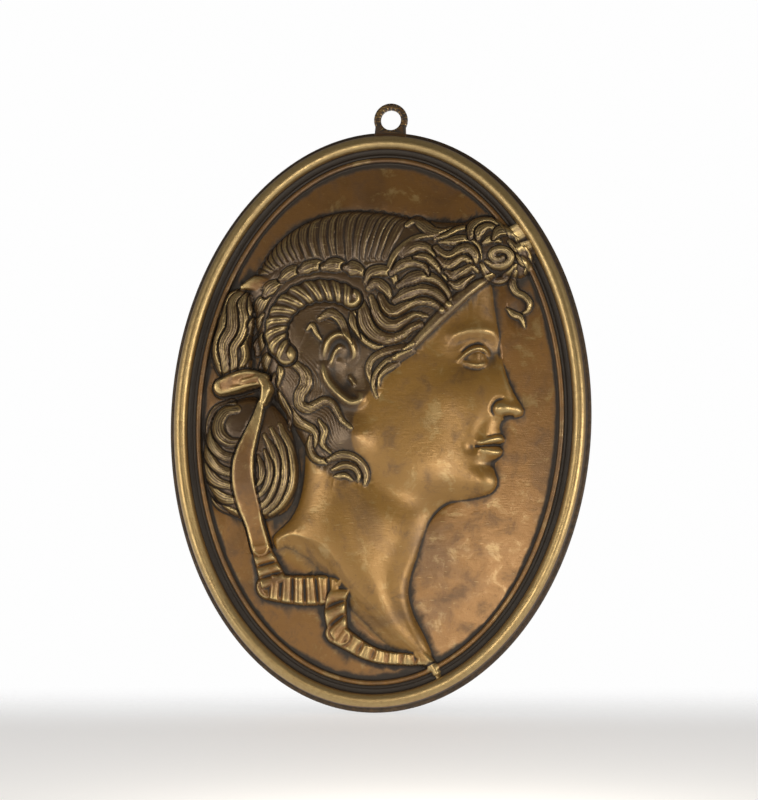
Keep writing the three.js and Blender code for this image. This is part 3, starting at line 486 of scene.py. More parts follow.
def model_ear(sheet):
    sheet.swell(-15, 20, 8, 13, turn=-20, lift=-2.4)
    sheet.crease([(-23.2, 22), (-21.5, 30.5), (-17, 33.8), (-12.5, 31.5), (-10.6, 26), (-13, 21.8)], 3.0, 2.7)
    sheet.crease([(-20.4, 20), (-19, 25.5), (-16, 30)], 2.0, 1.5)
    sheet.swell(-15.4, 27.6, 2.6, 2.2, lift=0.9)
    sheet.swell(-17, 22.6, 2.8, 2.4, lift=0.9)
    sheet.crease([(-23.2, 23), (-21.6, 15.5), (-16.5, 9.6), (-11.5, 6.2), (-7.6, 7), (-7.4, 11)], 4.0, 3.0,
                 fade=0.3)
    sheet.crease([(-13, 17.6), (-9.6, 13)], 1.8, 1.3)
    sheet.swell(-12.6, 14, 3, 4, turn=-30, lift=-1.0)


# ---------------------------------------------------------------- hair

def comb_ground(sheet):
    """Fine combed lines on the ground of the hair, which show between the locks."""
    hair = clamp01(sheet.carved)
    for route, reach in [
        ([(-8, 56), (-3, 44), (4, 37), (14, 40), (24, 47)], 9),
        ([(4, 60), (12, 62), (22, 60), (30, 66), (40, 70)], 9),
        ([(12, 80), (22, 76), (34, 76), (44, 80)], 7),
        ([(-38, 24), (-30, 14), (-31, 4), (-22, 0), (-18, -10), (-10, -16)], 10),
        ([(-46, 20), (-42, 6), (-34, -10)], 6),
        ([(-36, 40), (-26, 44), (-14, 40)], 6),
    ]:
        sheet.comb(route, reach, where=hair)


def carve_bun(sheet):
    """Comma-shaped locks that sweep round the bun on both sides of the ribbon."""
    sheet.locks([
        (4.6, (-68, -31), (-63.5, -37.6), (-57, -40.6)),
        (4.8, (-70.6, -25), (-67, -31.4), (-62, -34.8), (-56, -35.4)),
        (5.0, (-71.6, -17.5), (-69.4, -24.4), (-64.5, -28.4), (-56, -30)),
        (5.2, (-71, -8), (-70.6, -15), (-66, -21.6), (-60.5, -24), (-56, -24.4)),
        (5.6, (-61, 5), (-67, 1.6), (-69.6, -5), (-68.4, -12), (-63.5, -17), (-56, -18.4)),
        (5.8, (-58.5, 2.2), (-63.4, 1.2), (-66, -3.6), (-64.8, -8.6), (-60.6, -11.6), (-56, -11.4)),
    ], spacing=1.15, lift=1.7, tip=0.6, root=0.7)
    sheet.locks([
        (4.4, (-40.5, -3.6), (-36.6, -12), (-34.4, -21), (-34.6, -29), (-37.6, -36), (-43, -41)),
        (4.2, (-43.8, -5.4), (-40.2, -12), (-37.9, -21), (-38, -29), (-40.9, -35.8), (-45.4, -40)),
        (4.2, (-46.4, -8.4), (-42.8, -15), (-41, -22), (-41.4, -29), (-44, -35), (-48, -38.6)),
        (3.6, (-46, -14.6), (-43.7, -21), (-44, -27.5), (-46.4, -32), (-49.6, -34)),
        (3.0, (-48.6, -17), (-46.8, -22), (-47, -27), (-49.4, -30)),
    ], spacing=1.1, lift=1.6, tip=0.55, root=0.5)


def carve_side_hair(sheet):
    """Wavy strands behind the head, gathered under the ribbon."""
    sheet.locks([
        (3.6, (-55, 49), (-54.2, 42), (-55.4, 36), (-57, 30.5), (-56, 24.5), (-58, 18.5)),
        (4.6, (-60.6, 51.4), (-65, 47.6), (-66.2, 41.6), (-66.2, 35.6), (-68.6, 29.6), (-68.6, 23.6), (-65, 16)),
        (4.6, (-57.2, 51), (-58.4, 45), (-57.2, 39), (-58.4, 33), (-61, 27.5), (-60.4, 21.5), (-61, 16)),
        (5.0, (-58.8, 51.6), (-62.2, 46.6), (-61.8, 40.6), (-62, 35), (-65, 29), (-64.4, 22.6), (-63.6, 16)),
    ], spacing=1.1, lift=1.8, tip=0.7, root=0.6)


def carve_crown(sheet):
    """Combed strands that hook back from the outline and sweep down to the braid."""
    edge = spline([(-50.5, 60.5), (-46.5, 69.5), (-42, 74.7), (-35, 80), (-24, 84.7), (-12, 86.2), (0, 85.4),
                   (8, 83.4)])
    foot = spline([(-48, 59.5), (-44, 62), (-38.5, 64.4), (-32, 65.4), (-22, 65.4), (-13, 65.6), (-6, 66),
                   (0.5, 66.5)])
    for t in np.linspace(0, 1, 21):
        a = edge[round(t * (len(edge) - 1))]
        b = foot[round(t * (len(foot) - 1))]
        hook = np.array([mix(2.4, 0.4, t), 0])
        route = [a + (2.6, -0.5), mix(a, b, 0.14) - hook * 0.2, mix(a, b, 0.5) - hook,
                 mix(a, b, 0.83) - hook * 0.5, b]
        sheet.lock(route, width=mix(2.8, 3.9, t), tip=0.8, spacing=1.2, lift=mix(1.0, 0.75, t), sink=0.3,
                   cut=0.3, root=0.7)


def carve_braid(sheet):
    """A chain of slanting lumps from the ribbon up and over to the temple: place, slant, length, width."""
    lumps = [(-43.6, 13, 85, 8, 3.4), (-47.2, 21.5, 66, 9, 5.4), (-49.6, 30, 66, 9, 5.6),
             (-51.6, 38, 60, 8.5, 5.6), (-49.4, 45.8, 52, 9, 5.8), (-45, 52.6, 40, 9, 5.8),
             (-38, 58.4, 27, 9, 5.8), (-29, 61.2, 14, 9.5, 6.2), (-19.6, 61.8, 2, 9.5, 6.6),
             (-11.4, 60.4, -18, 8.5, 6.4)]
    for x, z, slant, length, width in lumps:
        c = math.cos(math.radians(slant)) * length / 2
        s = math.sin(math.radians(slant)) * length / 2
        sheet.lock([(x - c, z - s), (x - s * 0.2, z + c * 0.2), (x + c, z + s)], width=width, lift=2.0,
                   spacing=1.1, root=0.55, tip=0.5)
    sheet.locks([
        (3.0, (-41.4, 21), (-40.8, 16.6), (-42, 12)),
        (5.8, (-6.6, 56), (-4.4, 59.4), (0, 60.8), (4, 59.2), (5.6, 55)),
        (5.4, (-5.6, 53.4), (-2.4, 55.6), (1.4, 53.2), (3.6, 49.6)),
    ], spacing=1.1, lift=2.1)


def carve_temple(sheet):
    """S-shaped waves over the temple, from the bottom up, and the short locks before the ear."""
    sheet.locks([
        (5.0, (-12.6, 45), (-10.4, 39), (-7, 33.4), (-2, 29.6), (4, 28.8), (9.4, 30.4)),
        (6.8, (-8.4, 47.4), (-6, 39.6), (-2.2, 34.6), (3.2, 32.6), (8.6, 34.2), (12.6, 37.4), (16.4, 38.8)),
        (5.6, (-4.4, 49.8), (-1.8, 43.6), (1.2, 39.4), (5.4, 38.2), (9.8, 40.6), (13.8, 42.8), (18.6, 42.2)),
        (5.4, (-0.6, 50), (2, 45.4), (5.4, 44), (9.4, 46), (13.4, 48), (18, 48.6), (22.4, 47), (25, 44.8)),
        (5.8, (5.4, 48.4), (10.4, 51.6), (16, 53.4), (21.4, 52.4), (25.4, 49.4), (28, 46.8)),
        (5.4, (6.6, 54.6), (12, 57.8), (17.6, 58.8), (22.6, 56.8), (26.4, 53), (28, 49.8)),
        (4.6, (20, 62.8), (24.4, 61.4), (27.6, 57.6), (28.6, 54)),
        (5.0, (3.6, 59.6), (8, 63.4), (12.6, 64.6), (16.8, 62.8), (18.8, 59.6)),
        (5.4, (7.6, 67.4), (12.4, 70.8), (17.2, 70.8), (20.4, 68), (21, 64.4)),
        (4.0, (13, 66.6), (17.6, 66.6), (21.6, 63.4), (23.6, 60.6)),
    ], lift=2.2, spacing=1.1, tip=0.4)
    sheet.locks([
        (4.2, (13.4, 30.6), (8, 28.6), (2, 27.2), (-2.8, 24.4), (-4.6, 19.6), (-2.6, 13.4)),
        (3.8, (13.8, 27.8), (7.6, 25), (2.4, 22.4), (-1.2, 18.2), (-2.2, 13.4), (-0.6, 8.4)),
        (3.0, (7.8, 22.6), (3.6, 20.4), (0.4, 16.8), (0, 12.8)),
    ], spacing=0.95, lift=1.6, tip=0.3)


def carve_forelocks(sheet):
    """Curls above the forehead, the spiral curl among them and the ringlets that hang before the brow."""
    sheet.locks([
        (5.0, (9, 80.4), (12.4, 83), (15.8, 80.6), (19.6, 77.6), (24.6, 77.6), (28.6, 79.4), (32, 80.6)),
        (3.4, (21, 74.6), (25.6, 76), (29, 78.6), (33.4, 80), (36, 78)),
        (4.2, (23, 73.2), (28, 73.8), (33.6, 74.4), (38.4, 72), (40, 66.8)),
        (5.4, (21.4, 70.8), (24.8, 67.6), (28.4, 67.6), (31.4, 70), (35, 70.8), (37.8, 67.8), (37.4, 63.6)),
        (4.2, (22.6, 66.4), (26, 63.8), (29.4, 64.6), (32.6, 66.6), (35.6, 65.2), (37, 61.4)),
        (4.8, (26.2, 60.8), (29.4, 59.2), (32.8, 61), (36.4, 63.2), (39, 61.4)),
        (4.4, (27.6, 56.6), (31, 55.4), (34.2, 57.6), (37.4, 59.8)),
        (4.8, (35.4, 75.4), (36.2, 80), (39.6, 83.4), (43.8, 83.8), (47.8, 81)),
        (4.4, (38.8, 75), (39.8, 78.8), (43, 80.6), (46.4, 79)),
        (3.8, (41, 73.4), (44.6, 75), (47.8, 74)),
        (4.6, (45, 75.4), (47.4, 78.6), (51.4, 78.8), (54.8, 76.4), (54.6, 72)),
        (4.2, (51.4, 74.4), (54.4, 71.4), (56.8, 72.6), (60, 71.2), (60.4, 67)),
        (3.8, (54.6, 68.6), (57.2, 66.2), (59.4, 64.4), (58.2, 61.6)),
        (4.4, (40.4, 64.4), (43, 60.4), (47.4, 58.8), (51.6, 61), (54.4, 64.6)),
        (3.8, (54.4, 62), (53, 58), (54.6, 54.2), (58, 52.4), (60.2, 49.8), (59.8, 46.8), (57.6, 45.2)),
        (3.0, (51.2, 47), (53.8, 44.8), (56.8, 43.6), (58.6, 39.6)),
    ], lift=2.2, spacing=1.05, tip=0.4)
    f = np.linspace(0, 1, 14)
    turn = -2.6 + 2 * np.pi * 1.3 * f
    shrink = 1 - 0.72 * f
    spiral = np.stack([47.6 + 6.2 * shrink * np.cos(turn), 68 + 4.4 * shrink * np.sin(turn)], axis=1)
    sheet.lock(spiral, width=3.6, tip=0.8, spacing=1.0, lift=2.1)


def carve_nape(sheet):
    """Wavy locks that fall behind and under the ear."""
    sheet.locks([
        (4.0, (-43.6, 27.4), (-39.6, 28.4), (-36, 26), (-34.4, 21.6)),
        (3.6, (-24.2, -1.6), (-21.6, -6), (-22.4, -11), (-18.6, -15)),
        (5.4, (-38, 22.6), (-33.4, 20.2), (-30.3, 17), (-30.2, 12.6), (-32.2, 8.8), (-32.2, 5), (-29, 3.2),
         (-25.4, 4.8), (-22, 6.6), (-18.8, 5.4), (-16.6, 2), (-14.4, -1.6), (-10.6, -4.6)),
        (4.8, (-36, 2.4), (-33.4, -2), (-29.4, -4), (-26.2, -5.8), (-25, -9.6), (-25.8, -12.6)),
        (4.2, (-27.4, -8.4), (-28, -13), (-25.6, -17), (-21.2, -18.4), (-17, -17)),
        (4.8, (-19.6, -17.8), (-15, -16), (-9.8, -16.6), (-5.8, -19.4), (-3.8, -23.4), (-4.2, -27.4)),
        (3.8, (-17.8, -21.8), (-13, -19.8), (-9, -20.6), (-6.8, -23.6), (-7, -26)),
        (2.8, (-16.6, -24.6), (-12.4, -24), (-9.4, -25.8)),
        (3.6, (-41.4, 9.6), (-39.4, 5), (-37, 1), (-36.4, -5)),
        (4.4, (-25.4, 40.2), (-21, 42.6), (-16.8, 40), (-14.4, 35.4), (-12.2, 30.4)),
        (3.4, (-12.4, 42.6), (-11.2, 37.6), (-8.4, 32.6)),
        (2.8, (-30.4, 35.4), (-28.2, 37.4), (-26.6, 34.4), (-24.4, 31.4)),
    ], lift=1.9, spacing=1.15, tip=0.35, wobble=0.06)


def carve_coil(sheet):
    """A thick twisted coil of hair round the ear, cut across into barrels."""
    path = spline([(-12.4, 49), (-18, 51.4), (-26, 52), (-33.6, 49.8), (-39.8, 44.6), (-43.2, 37), (-42.6, 30),
                   (-38.6, 25)], 10)
    w = sheet.window(path, 7)
    along, across = nearest(path, sheet.X[w], sheet.Z[w])
    width = 9.4 * (0.84 + 0.16 * np.sin(np.pi * along)) * (1 + 0.04 * np.cos(22 * np.pi * along))
    q = 2 * across / width
    edge = np.abs(q)
    turn = along * 11 + 0.45 * q + 0.22 * np.sin(7 * along)
    groove = 1.3 * np.abs(np.cos(np.pi * turn)) ** 6 + 0.35 * np.abs(np.cos(np.pi * (turn * 3 + 0.5))) ** 2
    top = 11.0 + 3.1 * np.sqrt(np.clip(1 - edge ** 2, 0, 1)) - groove
    beside = (edge >= 1) & (edge < 1.3)
    sunk = np.minimum(sheet.h[w], sheet.body[w] - 1.0 * (1 - smooth((edge - 1) / 0.3)))
    sheet.h[w] = np.where(edge < 1, top, np.where(beside, sunk, sheet.h[w]))
    sheet.carved[w] = np.maximum(sheet.carved[w], (edge < 1.3) * 1.0)


def roll_hairline(sheet):
    """The smooth roll where the hair meets the forehead and temple."""
    roll = [(45, 60.4), (39.6, 56.6), (34, 52), (28.6, 46.8), (23, 41), (18, 35.4), (12.6, 29.4), (6, 24.6)]
    sheet.band(roll, [2.4, 4.4, 5.2, 5.4, 5, 4.4, 3.6, 2], lift=1.7, flat=0.1, cloth=1)


# ---------------------------------------------------------------- ribbon

def carve_ribbon(sheet):
    """The fillet, the wrap and knot, and the ribbon that hangs over the bun and folds along the cut."""
    sheet.band([(2, 61), (4.6, 67.2), (9.8, 72.6), (15, 75.4), (22, 76)], [2.2, 3.2, 3.2, 2.6, 1.6], lift=1.5,
               flat=0.3, cloth=1)
    sheet.band([(-58.5, 53.2), (-53.5, 55), (-48.2, 55.4)], [3, 7.6, 3], height=[8.2, 9.4], flat=0.25)
    sheet.band([(-48.2, 5), (-49.8, -2), (-52.3, -10), (-54.3, -18), (-54.4, -26.5), (-52.4, -36),
                (-49.4, -45.5), (-46.8, -54)], [2.6, 4.6, 6.8, 9, 9.6, 9, 7.6, 8],
               height=[12.4, 12.9, 13, 12.8, 12, 10, 7.6, 6.8], flat=0.8, lip=0.25, undercut=0.8, cloth=0.1)
    sheet.band([(-49, -47), (-46.8, -54), (-44, -61), (-40.2, -70)], [7, 8, 10, 12.6],
               height=[7.4, 7, 6.8, 6.8], pleats=5, depth=1.5, lip=0.2, skew=-0.1)
    sheet.band([(-42.8, -70.2), (-35, -71), (-27, -71.2), (-20, -70.8), (-12.8, -71)], [11, 12, 12.6, 12.6, 9],
               height=[6.8, 6.8, 7, 7.6], pleats=6, depth=1.5, lip=0.2, skew=0.08)
    sheet.band([(-12.2, -69.6), (-14.4, -74), (-14.8, -80), (-13.6, -86), (-11.6, -89.6)],
               [7, 8.8, 9.6, 9, 7.6], height=[8, 7.8, 7.2], pleats=3, depth=1.7, skew=0.35, lip=0.2)
    sheet.band([(-14.4, -88.2), (-8.5, -91.6), (-2.4, -95), (5, -97.3), (14, -97.8), (24.5, -98.4)],
               [9, 7.6, 6.4, 5.4, 5, 3], height=[7.2, 6.8, 6.6, 6.4], pleats=7, depth=1.2, lip=0.15)
    sheet.band([(-65.4, 11.4), (-60, 13), (-54, 14.8), (-48, 14.6)], [8, 9.2, 9, 6], height=[9.2, 10.8, 12],
               flat=0.6, undercut=0.6)
    for fold, width, lift in [([(-62, 15), (-56.5, 17), (-50.4, 17.4)], 2.4, 0.9),
                              ([(-58, 13), (-53, 14.6), (-48.4, 16)], 2.0, 0.8),
                              ([(-62.6, 10.2), (-56, 11.6), (-49, 13)], 1.6, 0.5)]:
        sheet.crease(fold, width, lift)
    sheet.band([(-48.4, 14.5), (-46.4, 11), (-47.4, 5.5)], [5, 6.6, 4], height=[12.8, 13.2, 12.6], flat=0.3)


def carve_head():
    """The whole figure on its sheet, from the smooth bodies to the last lock."""
    sheet = Sheet(SIZES["sheet_step"] / MM)
    bust = shape_bodies(sheet)
    sheet.smooth_body = blur(sheet.h, 1.0 / sheet.step)
    cut_neck(sheet, bust)
    sheet.settle()
    skin = smooth(bust / 1.5)
    model_cheek_and_neck(sheet, skin)
    model_eye(sheet, skin)
    model_nose(sheet, skin)
    model_mouth(sheet, skin)
    model_ear(sheet)
    comb_ground(sheet)
    roll_hairline(sheet)
    sheet.settle()
    for carve in (carve_bun, carve_side_hair, carve_crown, carve_braid, carve_temple, carve_forelocks,
                  carve_nape, carve_coil, carve_ribbon):
        carve(sheet)
    sheet.band([(20, -95.6), (24.8, -99.6), (27.6, -103.4)], [4.6, 5, 3.6], height=[6.4, 6.8], flat=0.3, cloth=0)
    sheet.skin = skin
    return sheet


# ---------------------------------------------------------------- nodes

class Nodes:
    """Short names for making the nodes of a tree."""

    def __init__(self, tree):
        self.tree = tree

    def new(self, kind, settings=None, **inputs):
        node = self.tree.nodes.new(kind)
        for name, value in (settings or {}).items():
            setattr(node, name, value)
        for name, value in inputs.items():
            self.give(node.inputs[name.replace("_", " ")], value)
        return node

    def give(self, socket, value):
        if isinstance(value, bpy.types.NodeSocket):
            self.tree.links.new(value, socket)
        else:
            socket.default_value = value

    def math(self, operation, a, b=0.0, clamp=False):
        node = self.new("ShaderNodeMath", {"operation": operation, "use_clamp": clamp})
        self.give(node.inputs[0], a)
        self.give(node.inputs[1], b)
        return node.outputs[0]

    def steps(self, value, low, high, to_low=0.0, to_high=1.0):
        node = self.new("ShaderNodeMapRange", {"interpolation_type": "SMOOTHSTEP"})
        for socket, given in zip(node.inputs, (value, low, high, to_low, to_high)):
            self.give(socket, given)
        return node.outputs[0]

    def blend(self, amount, a, b):
        node = self.new("ShaderNodeMix", {"data_type": "RGBA", "clamp_factor": True})
        self.give(node.inputs["Factor"], amount)
        colours = [s for s in node.inputs if s.type == "RGBA"]
        self.give(colours[0], a)
        self.give(colours[1], b)
        return next(s for s in node.outputs if s.type == "RGBA")

    def noise(self, where, scale, detail=4.0, roughness=0.55, distortion=0.0):
        node = self.new("ShaderNodeTexNoise", Vector=where, Scale=scale, Detail=detail, Roughness=roughness,
                        Distortion=distortion)
        return node.outputs[0]

    def attribute(self, name):
        return self.new("ShaderNodeAttribute", {"attribute_name": name}).outputs["Fac"]


# ---------------------------------------------------------------- rim

def rim_profile():
    """The moulding as (inset, height) in millimetres: flat back, flange, half-round, cove, step and bead."""
    def bow(inset, height, radius, start, end, count):
        return [(inset + radius * math.cos(t), height + radius * math.sin(t))
                for t in np.radians(np.linspace(start, end, count))]
    back = [(BACK_INSET, 0), (0.35, 0), (0, 0.35)]
    flange = [(0, 1.9), (0.15, 2.25), (0.5, 2.45), (1.2, 2.5), (1.65, 2.35)]
    torus = bow(4.7, 5.4, 2.85, 188, -14, 15)
    cove = [(7.9, 4.35), (8.5, 4.15), (9.3, 4.15), (9.7, 4.25), (9.85, 4.55), (10.5, 4.6), (10.75, 4.2)]
    bead = bow(12.0, 4.2, 1.15, 168, 14, 8)
    return back + flange + torus + cove + bead + [(13.2, 3.35), (FIELD_INSET, FIELD_EDGE)]


def profile_curve(name, points):
    curve = bpy.data.curves.new(name, "CURVE")
    line = curve.splines.new("POLY")
    line.points.add(len(points) - 1)
    for point, (inset, height) in zip(line.points, points):
        point.co = (-inset * MM, -height * MM, 0, 1)
    obj = bpy.data.objects.new(name, curve)
    bpy.context.collection.objects.link(obj)
    return obj


def rim_nodes():
    """A node tree that sweeps a profile round an oval standing in the XZ plane."""
    tree = bpy.data.node_groups.new("Moulded rim", "GeometryNodeTree")
    sockets = [("Half width", "NodeSocketFloat"), ("Half height", "NodeSocketFloat"),
               ("Centre height", "NodeSocketFloat"), ("Segments", "NodeSocketInt"),
               ("Profile", "NodeSocketObject")]
    ids = {label: tree.interface.new_socket(label, in_out="INPUT", socket_type=kind).identifier
           for label, kind in sockets}
    tree.interface.new_socket("Geometry", in_out="OUTPUT", socket_type="NodeSocketGeometry")
    n = Nodes(tree)
    given = n.new("NodeGroupInput").outputs
    circle = n.new("GeometryNodeCurvePrimitiveCircle", Radius=1.0, Resolution=given["Segments"])
    size = n.new("ShaderNodeCombineXYZ", X=given["Half width"], Y=given["Half height"], Z=1.0)
    stretched = n.new("ShaderNodeVectorMath", {"operation": "MULTIPLY"})
    n.give(stretched.inputs[0], n.new("GeometryNodeInputPosition").outputs[0])
    n.give(stretched.inputs[1], size.outputs[0])
    place = n.new("GeometryNodeSetPosition", Geometry=circle.outputs["Curve"], Position=stretched.outputs[0])
    upright = n.new("GeometryNodeSetCurveNormal", {"mode": "Z_UP"}, Curve=place.outputs[0])
    section = n.new("GeometryNodeObjectInfo", Object=given["Profile"])
    sweep = n.new("GeometryNodeCurveToMesh", Curve=upright.outputs[0],
                  Profile_Curve=section.outputs["Geometry"])
    drop = n.new("ShaderNodeCombineXYZ", Z=given["Centre height"])
    stand = n.new("GeometryNodeTransform", Geometry=sweep.outputs[0], Translation=drop.outputs[0],
                  Rotation=(math.pi / 2, 0, 0))
    real = n.new("GeometryNodeRealizeInstances", Geometry=stand.outputs[0])
    tree.links.new(real.outputs[0], n.new("NodeGroupOutput").inputs[0])
    return tree, ids


# ---------------------------------------------------------------- mesh

def oval(inset, X, Z):
    """Unit square coordinates carried onto the oval at that inset, without a pole in the middle."""
    return (X * np.sqrt(1 - Z * Z / 2) * (HALF_W - inset), Z * np.sqrt(1 - X * X / 2) * (HALF_H - inset))


def square_grid(cells):
    """A grid over the square from -1 to 1: coordinates, quads, and its border in order."""
    line = np.linspace(-1, 1, cells + 1)
    X, Z = np.meshgrid(line, line)
    number = np.arange((cells + 1) ** 2).reshape(cells + 1, cells + 1)
    quads = np.stack([number[:-1, :-1], number[:-1, 1:], number[1:, 1:], number[1:, :-1]], axis=-1).reshape(-1, 4)
    border = np.concatenate([number[0, :-1], number[:-1, -1], number[-1, :0:-1], number[:0:-1, 0]])
    return X.ravel(), Z.ravel(), quads, border


def zip_loops(points, outer, inner):
    """Triangles between two closed loops that run the same way round."""
    def turned(loop):
        angles = np.arctan2(points[loop, 2] / HALF_H, points[loop, 0] / HALF_W)
        start = int(np.argmin(angles))
        loop = np.roll(loop, -start)
        return loop, np.append(np.roll(angles, -start), angles[start] + 2 * np.pi)
    outer, a = turned(outer)
    inner, b = turned(inner)
    i = j = 0
    faces = []
    while i < len(outer) or j < len(inner):
        if j == len(inner) or (i < len(outer) and a[i + 1] <= b[j + 1]):
            faces.append((outer[i % len(outer)], outer[(i + 1) % len(outer)], inner[j % len(inner)]))
            i += 1
        else:
            faces.append((outer[i % len(outer)], inner[(j + 1) % len(inner)], inner[j % len(inner)]))
            j += 1
    return faces


def shade_maps(sheet):
    """Where hands rub the casting bright, and where dirt stays and shade is painted into the hollows, from how each
    place stands over its surroundings.
    """
    def stands(size, soft):
        """From -1 in a hollow to 1 on a ridge, against the average over that many millimetres."""
        coarse = 3 if size > 3 else 1
        part = relief[::coarse, ::coarse]
        part = part - blur(part, size / (sheet.step * coarse))
        if coarse > 1:
            part = sample(part, sheet.xs[::coarse], sheet.zs[::coarse], sheet.X, sheet.Z)
        return part / (np.abs(part) + soft)

    relief = sheet.h - sheet.field
    fine, middle, wide = stands(0.5, 0.15), stands(1.4, 0.6), stands(4.5, 2.5)
    wear = clamp01(0.35 * fine + 0.6 * middle + 0.2 * wide - 0.06)
    # Darkness in hollows and beside raised forms: partly dirt, partly painted shade.
    grime = clamp01(-0.5 * fine - 0.7 * middle - 0.25 * wide - 0.06)
    return wear, grime, clamp01(blur(sheet.carved, 1.5)), clamp01(blur(sheet.skin, 1))


def rim_shades(profile):
    """Wear, and grime with painted shade, for each point of the rim's profile."""
    shades = []
    for inset, height in profile:
        if height < 0.2:
            shades.append((0.1, 0.5))
        elif inset < 2.1:
            shades.append((0.05, 0.5))
        elif inset < 7.7:
            # The torus is rubbed bright on its crown; its low sides are darkened with painted shade.
            lift = clamp01((height - 4.8) / 2.4)
            shades.append((0.5 * lift, 0.9 * (1 - lift) ** 2))
        elif inset < 10.8:
            # The cove is dark all over: dirt and painted shade in the groove.
            shades.append((0.0, 0.8))
        else:
            # The bead's low sides are darkened with painted shade where it lies in the groove.
            lift = clamp01((height - 4.3) / 0.9)
            shades.append((0.22 * lift, 0.75 - 0.5 * lift))
    return np.array(shades)


# The figure may cover the rim's mouldings inside this inset, where it is carved or stands this high.
CROSSING_INSET, CARVED_ENOUGH, FIGURE_HEIGHT = 8.5, 0.3, 5.6
# Wear, grime, carved and skin values on the back and on the hanging eye.
BACK_SHADES, EYE_SHADES = (0.05, 0.45, 0, 0), (0.42, 0, 0, 0)
# A painted shadow round the field, darkest at its edge where it meets the rim, and the width it fades over.
PAINTED_EDGE_SHADOW, PAINTED_EDGE_SHADOW_WIDTH = 0.8, 1.6
EYE_FOOT_WIDTH, EYE_FOOT_DEPTH, EYE_BEVEL = 6.5, 7.0, 0.9


class ArtKind:
    """Names shared between the stages."""

    rim = "rim_moulding"
    panel = "relief_panel"
    eye = "eye_blank"
    final = "cast_plaque"
    shades = ("wear", "grime", "carved", "skin")


def new_mesh_object(name, points, faces):
    mesh = bpy.data.meshes.new(name)
    mesh.from_pydata((np.asarray(points) * MM).tolist(), [], [list(map(int, f)) for f in faces])
    mesh.update()
    obj = bpy.data.objects.new(name, mesh)
    bpy.context.collection.objects.link(obj)
    return obj


def evaluated(obj):
    """A mesh of the object as it shows."""
    bpy.context.view_layer.update()
    return bpy.data.meshes.new_from_object(obj.evaluated_get(bpy.context.evaluated_depsgraph_get()))


def apply_modifiers(obj):
    mesh = evaluated(obj)
    obj.modifiers.clear()
    obj.data = mesh


def coordinates(mesh):
    flat = np.empty(len(mesh.vertices) * 3)
    mesh.vertices.foreach_get("co", flat)
    return flat.reshape(-1, 3) / MM


def set_shades(mesh, values):
    """Stores wear, grime (dirt together with painted shade), carved and skin on every vertex."""
    for name, column in zip(ArtKind.shades, np.asarray(values, np.float32).T):
        layer = mesh.attributes.new(name, "FLOAT", "POINT")
        layer.data.foreach_set("value", np.ascontiguousarray(column))


class Casting:
    """The casting's points, shades and faces as they are put together."""

    def __init__(self, points, shades, faces):
        self.points, self.shades, self.faces = points, shades, faces

    def close(self, loop, points, shades, quads, border, turned=False):
        """Adds a panel and joins it to a loop of the rim. Returns the number of its first point."""
        start = len(self.points)
        self.points = np.vstack([self.points, points])
        self.shades = np.vstack([self.shades, shades])
        order = -1 if turned else 1
        self.faces += (quads[:, ::order] + start).tolist()
        self.faces += [face[::order] for face in zip_loops(self.points, loop, border + start)]
        return start


def oval_rings(sizes, sheet, maps):
    """The swept rim with its shades, raised where the figure crosses its inner mouldings."""
    profile = rim_profile()
    points = coordinates(bpy.data.objects[ArtKind.rim].data)
    points[:, 2] -= CENTRE_Z
    count, steps = sizes.rim_segments, len(profile)
    ring = np.arange(count * steps).reshape(count, steps)
    faces = [(ring[i, j], ring[(i + 1) % count, j], ring[(i + 1) % count, j + 1], ring[i, j + 1])
             for i in range(count) for j in range(steps - 1)]
    shades = np.zeros((count * steps, len(ArtKind.shades)))
    shades[:, :2] = np.tile(rim_shades(profile), (count, 1))
    x, z = points[:, 0], points[:, 2]
    over = sheet.at(sheet.h, x, z)
    figure = (sheet.at(sheet.carved, x, z) > CARVED_ENOUGH) | (over > FIGURE_HEIGHT)
    figure &= np.tile([inset > CROSSING_INSET for inset, height in profile], count) & (over > -points[:, 1])
    points[figure, 1] = -over[figure]
    for k, grid in enumerate(maps):
        shades[figure, k] = sheet.at(grid, x[figure], z[figure])
    return ring, Casting(points, shades, faces)


class PLAQUE_OT_rim(bpy.types.Operator):
    """Sweeps the moulded profile round the oval"""

    bl_idname = "plaque.rim"
    bl_label = "Moulded rim"

    def execute(self, context):
        sizes = context.scene.plaque_sizes
        section = profile_curve("rim_profile", rim_profile())
        rim = bpy.data.objects.new(ArtKind.rim, bpy.data.meshes.new(ArtKind.rim))
        context.collection.objects.link(rim)
        tree, ids = rim_nodes()
        modifier = rim.modifiers.new("Moulding", "NODES")
        modifier.node_group = tree
        modifier[ids["Half width"]] = sizes.half_width
        modifier[ids["Half height"]] = sizes.half_height
        modifier[ids["Centre height"]] = CENTRE_Z * MM
        modifier[ids["Segments"]] = sizes.rim_segments
        modifier[ids["Profile"]] = section
        apply_modifiers(rim)
        bpy.data.objects.remove(section)
        if len(rim.data.vertices) != sizes.rim_segments * len(rim_profile()):
            raise RuntimeError("the rim has %d vertices" % len(rim.data.vertices))
        return {"FINISHED"}


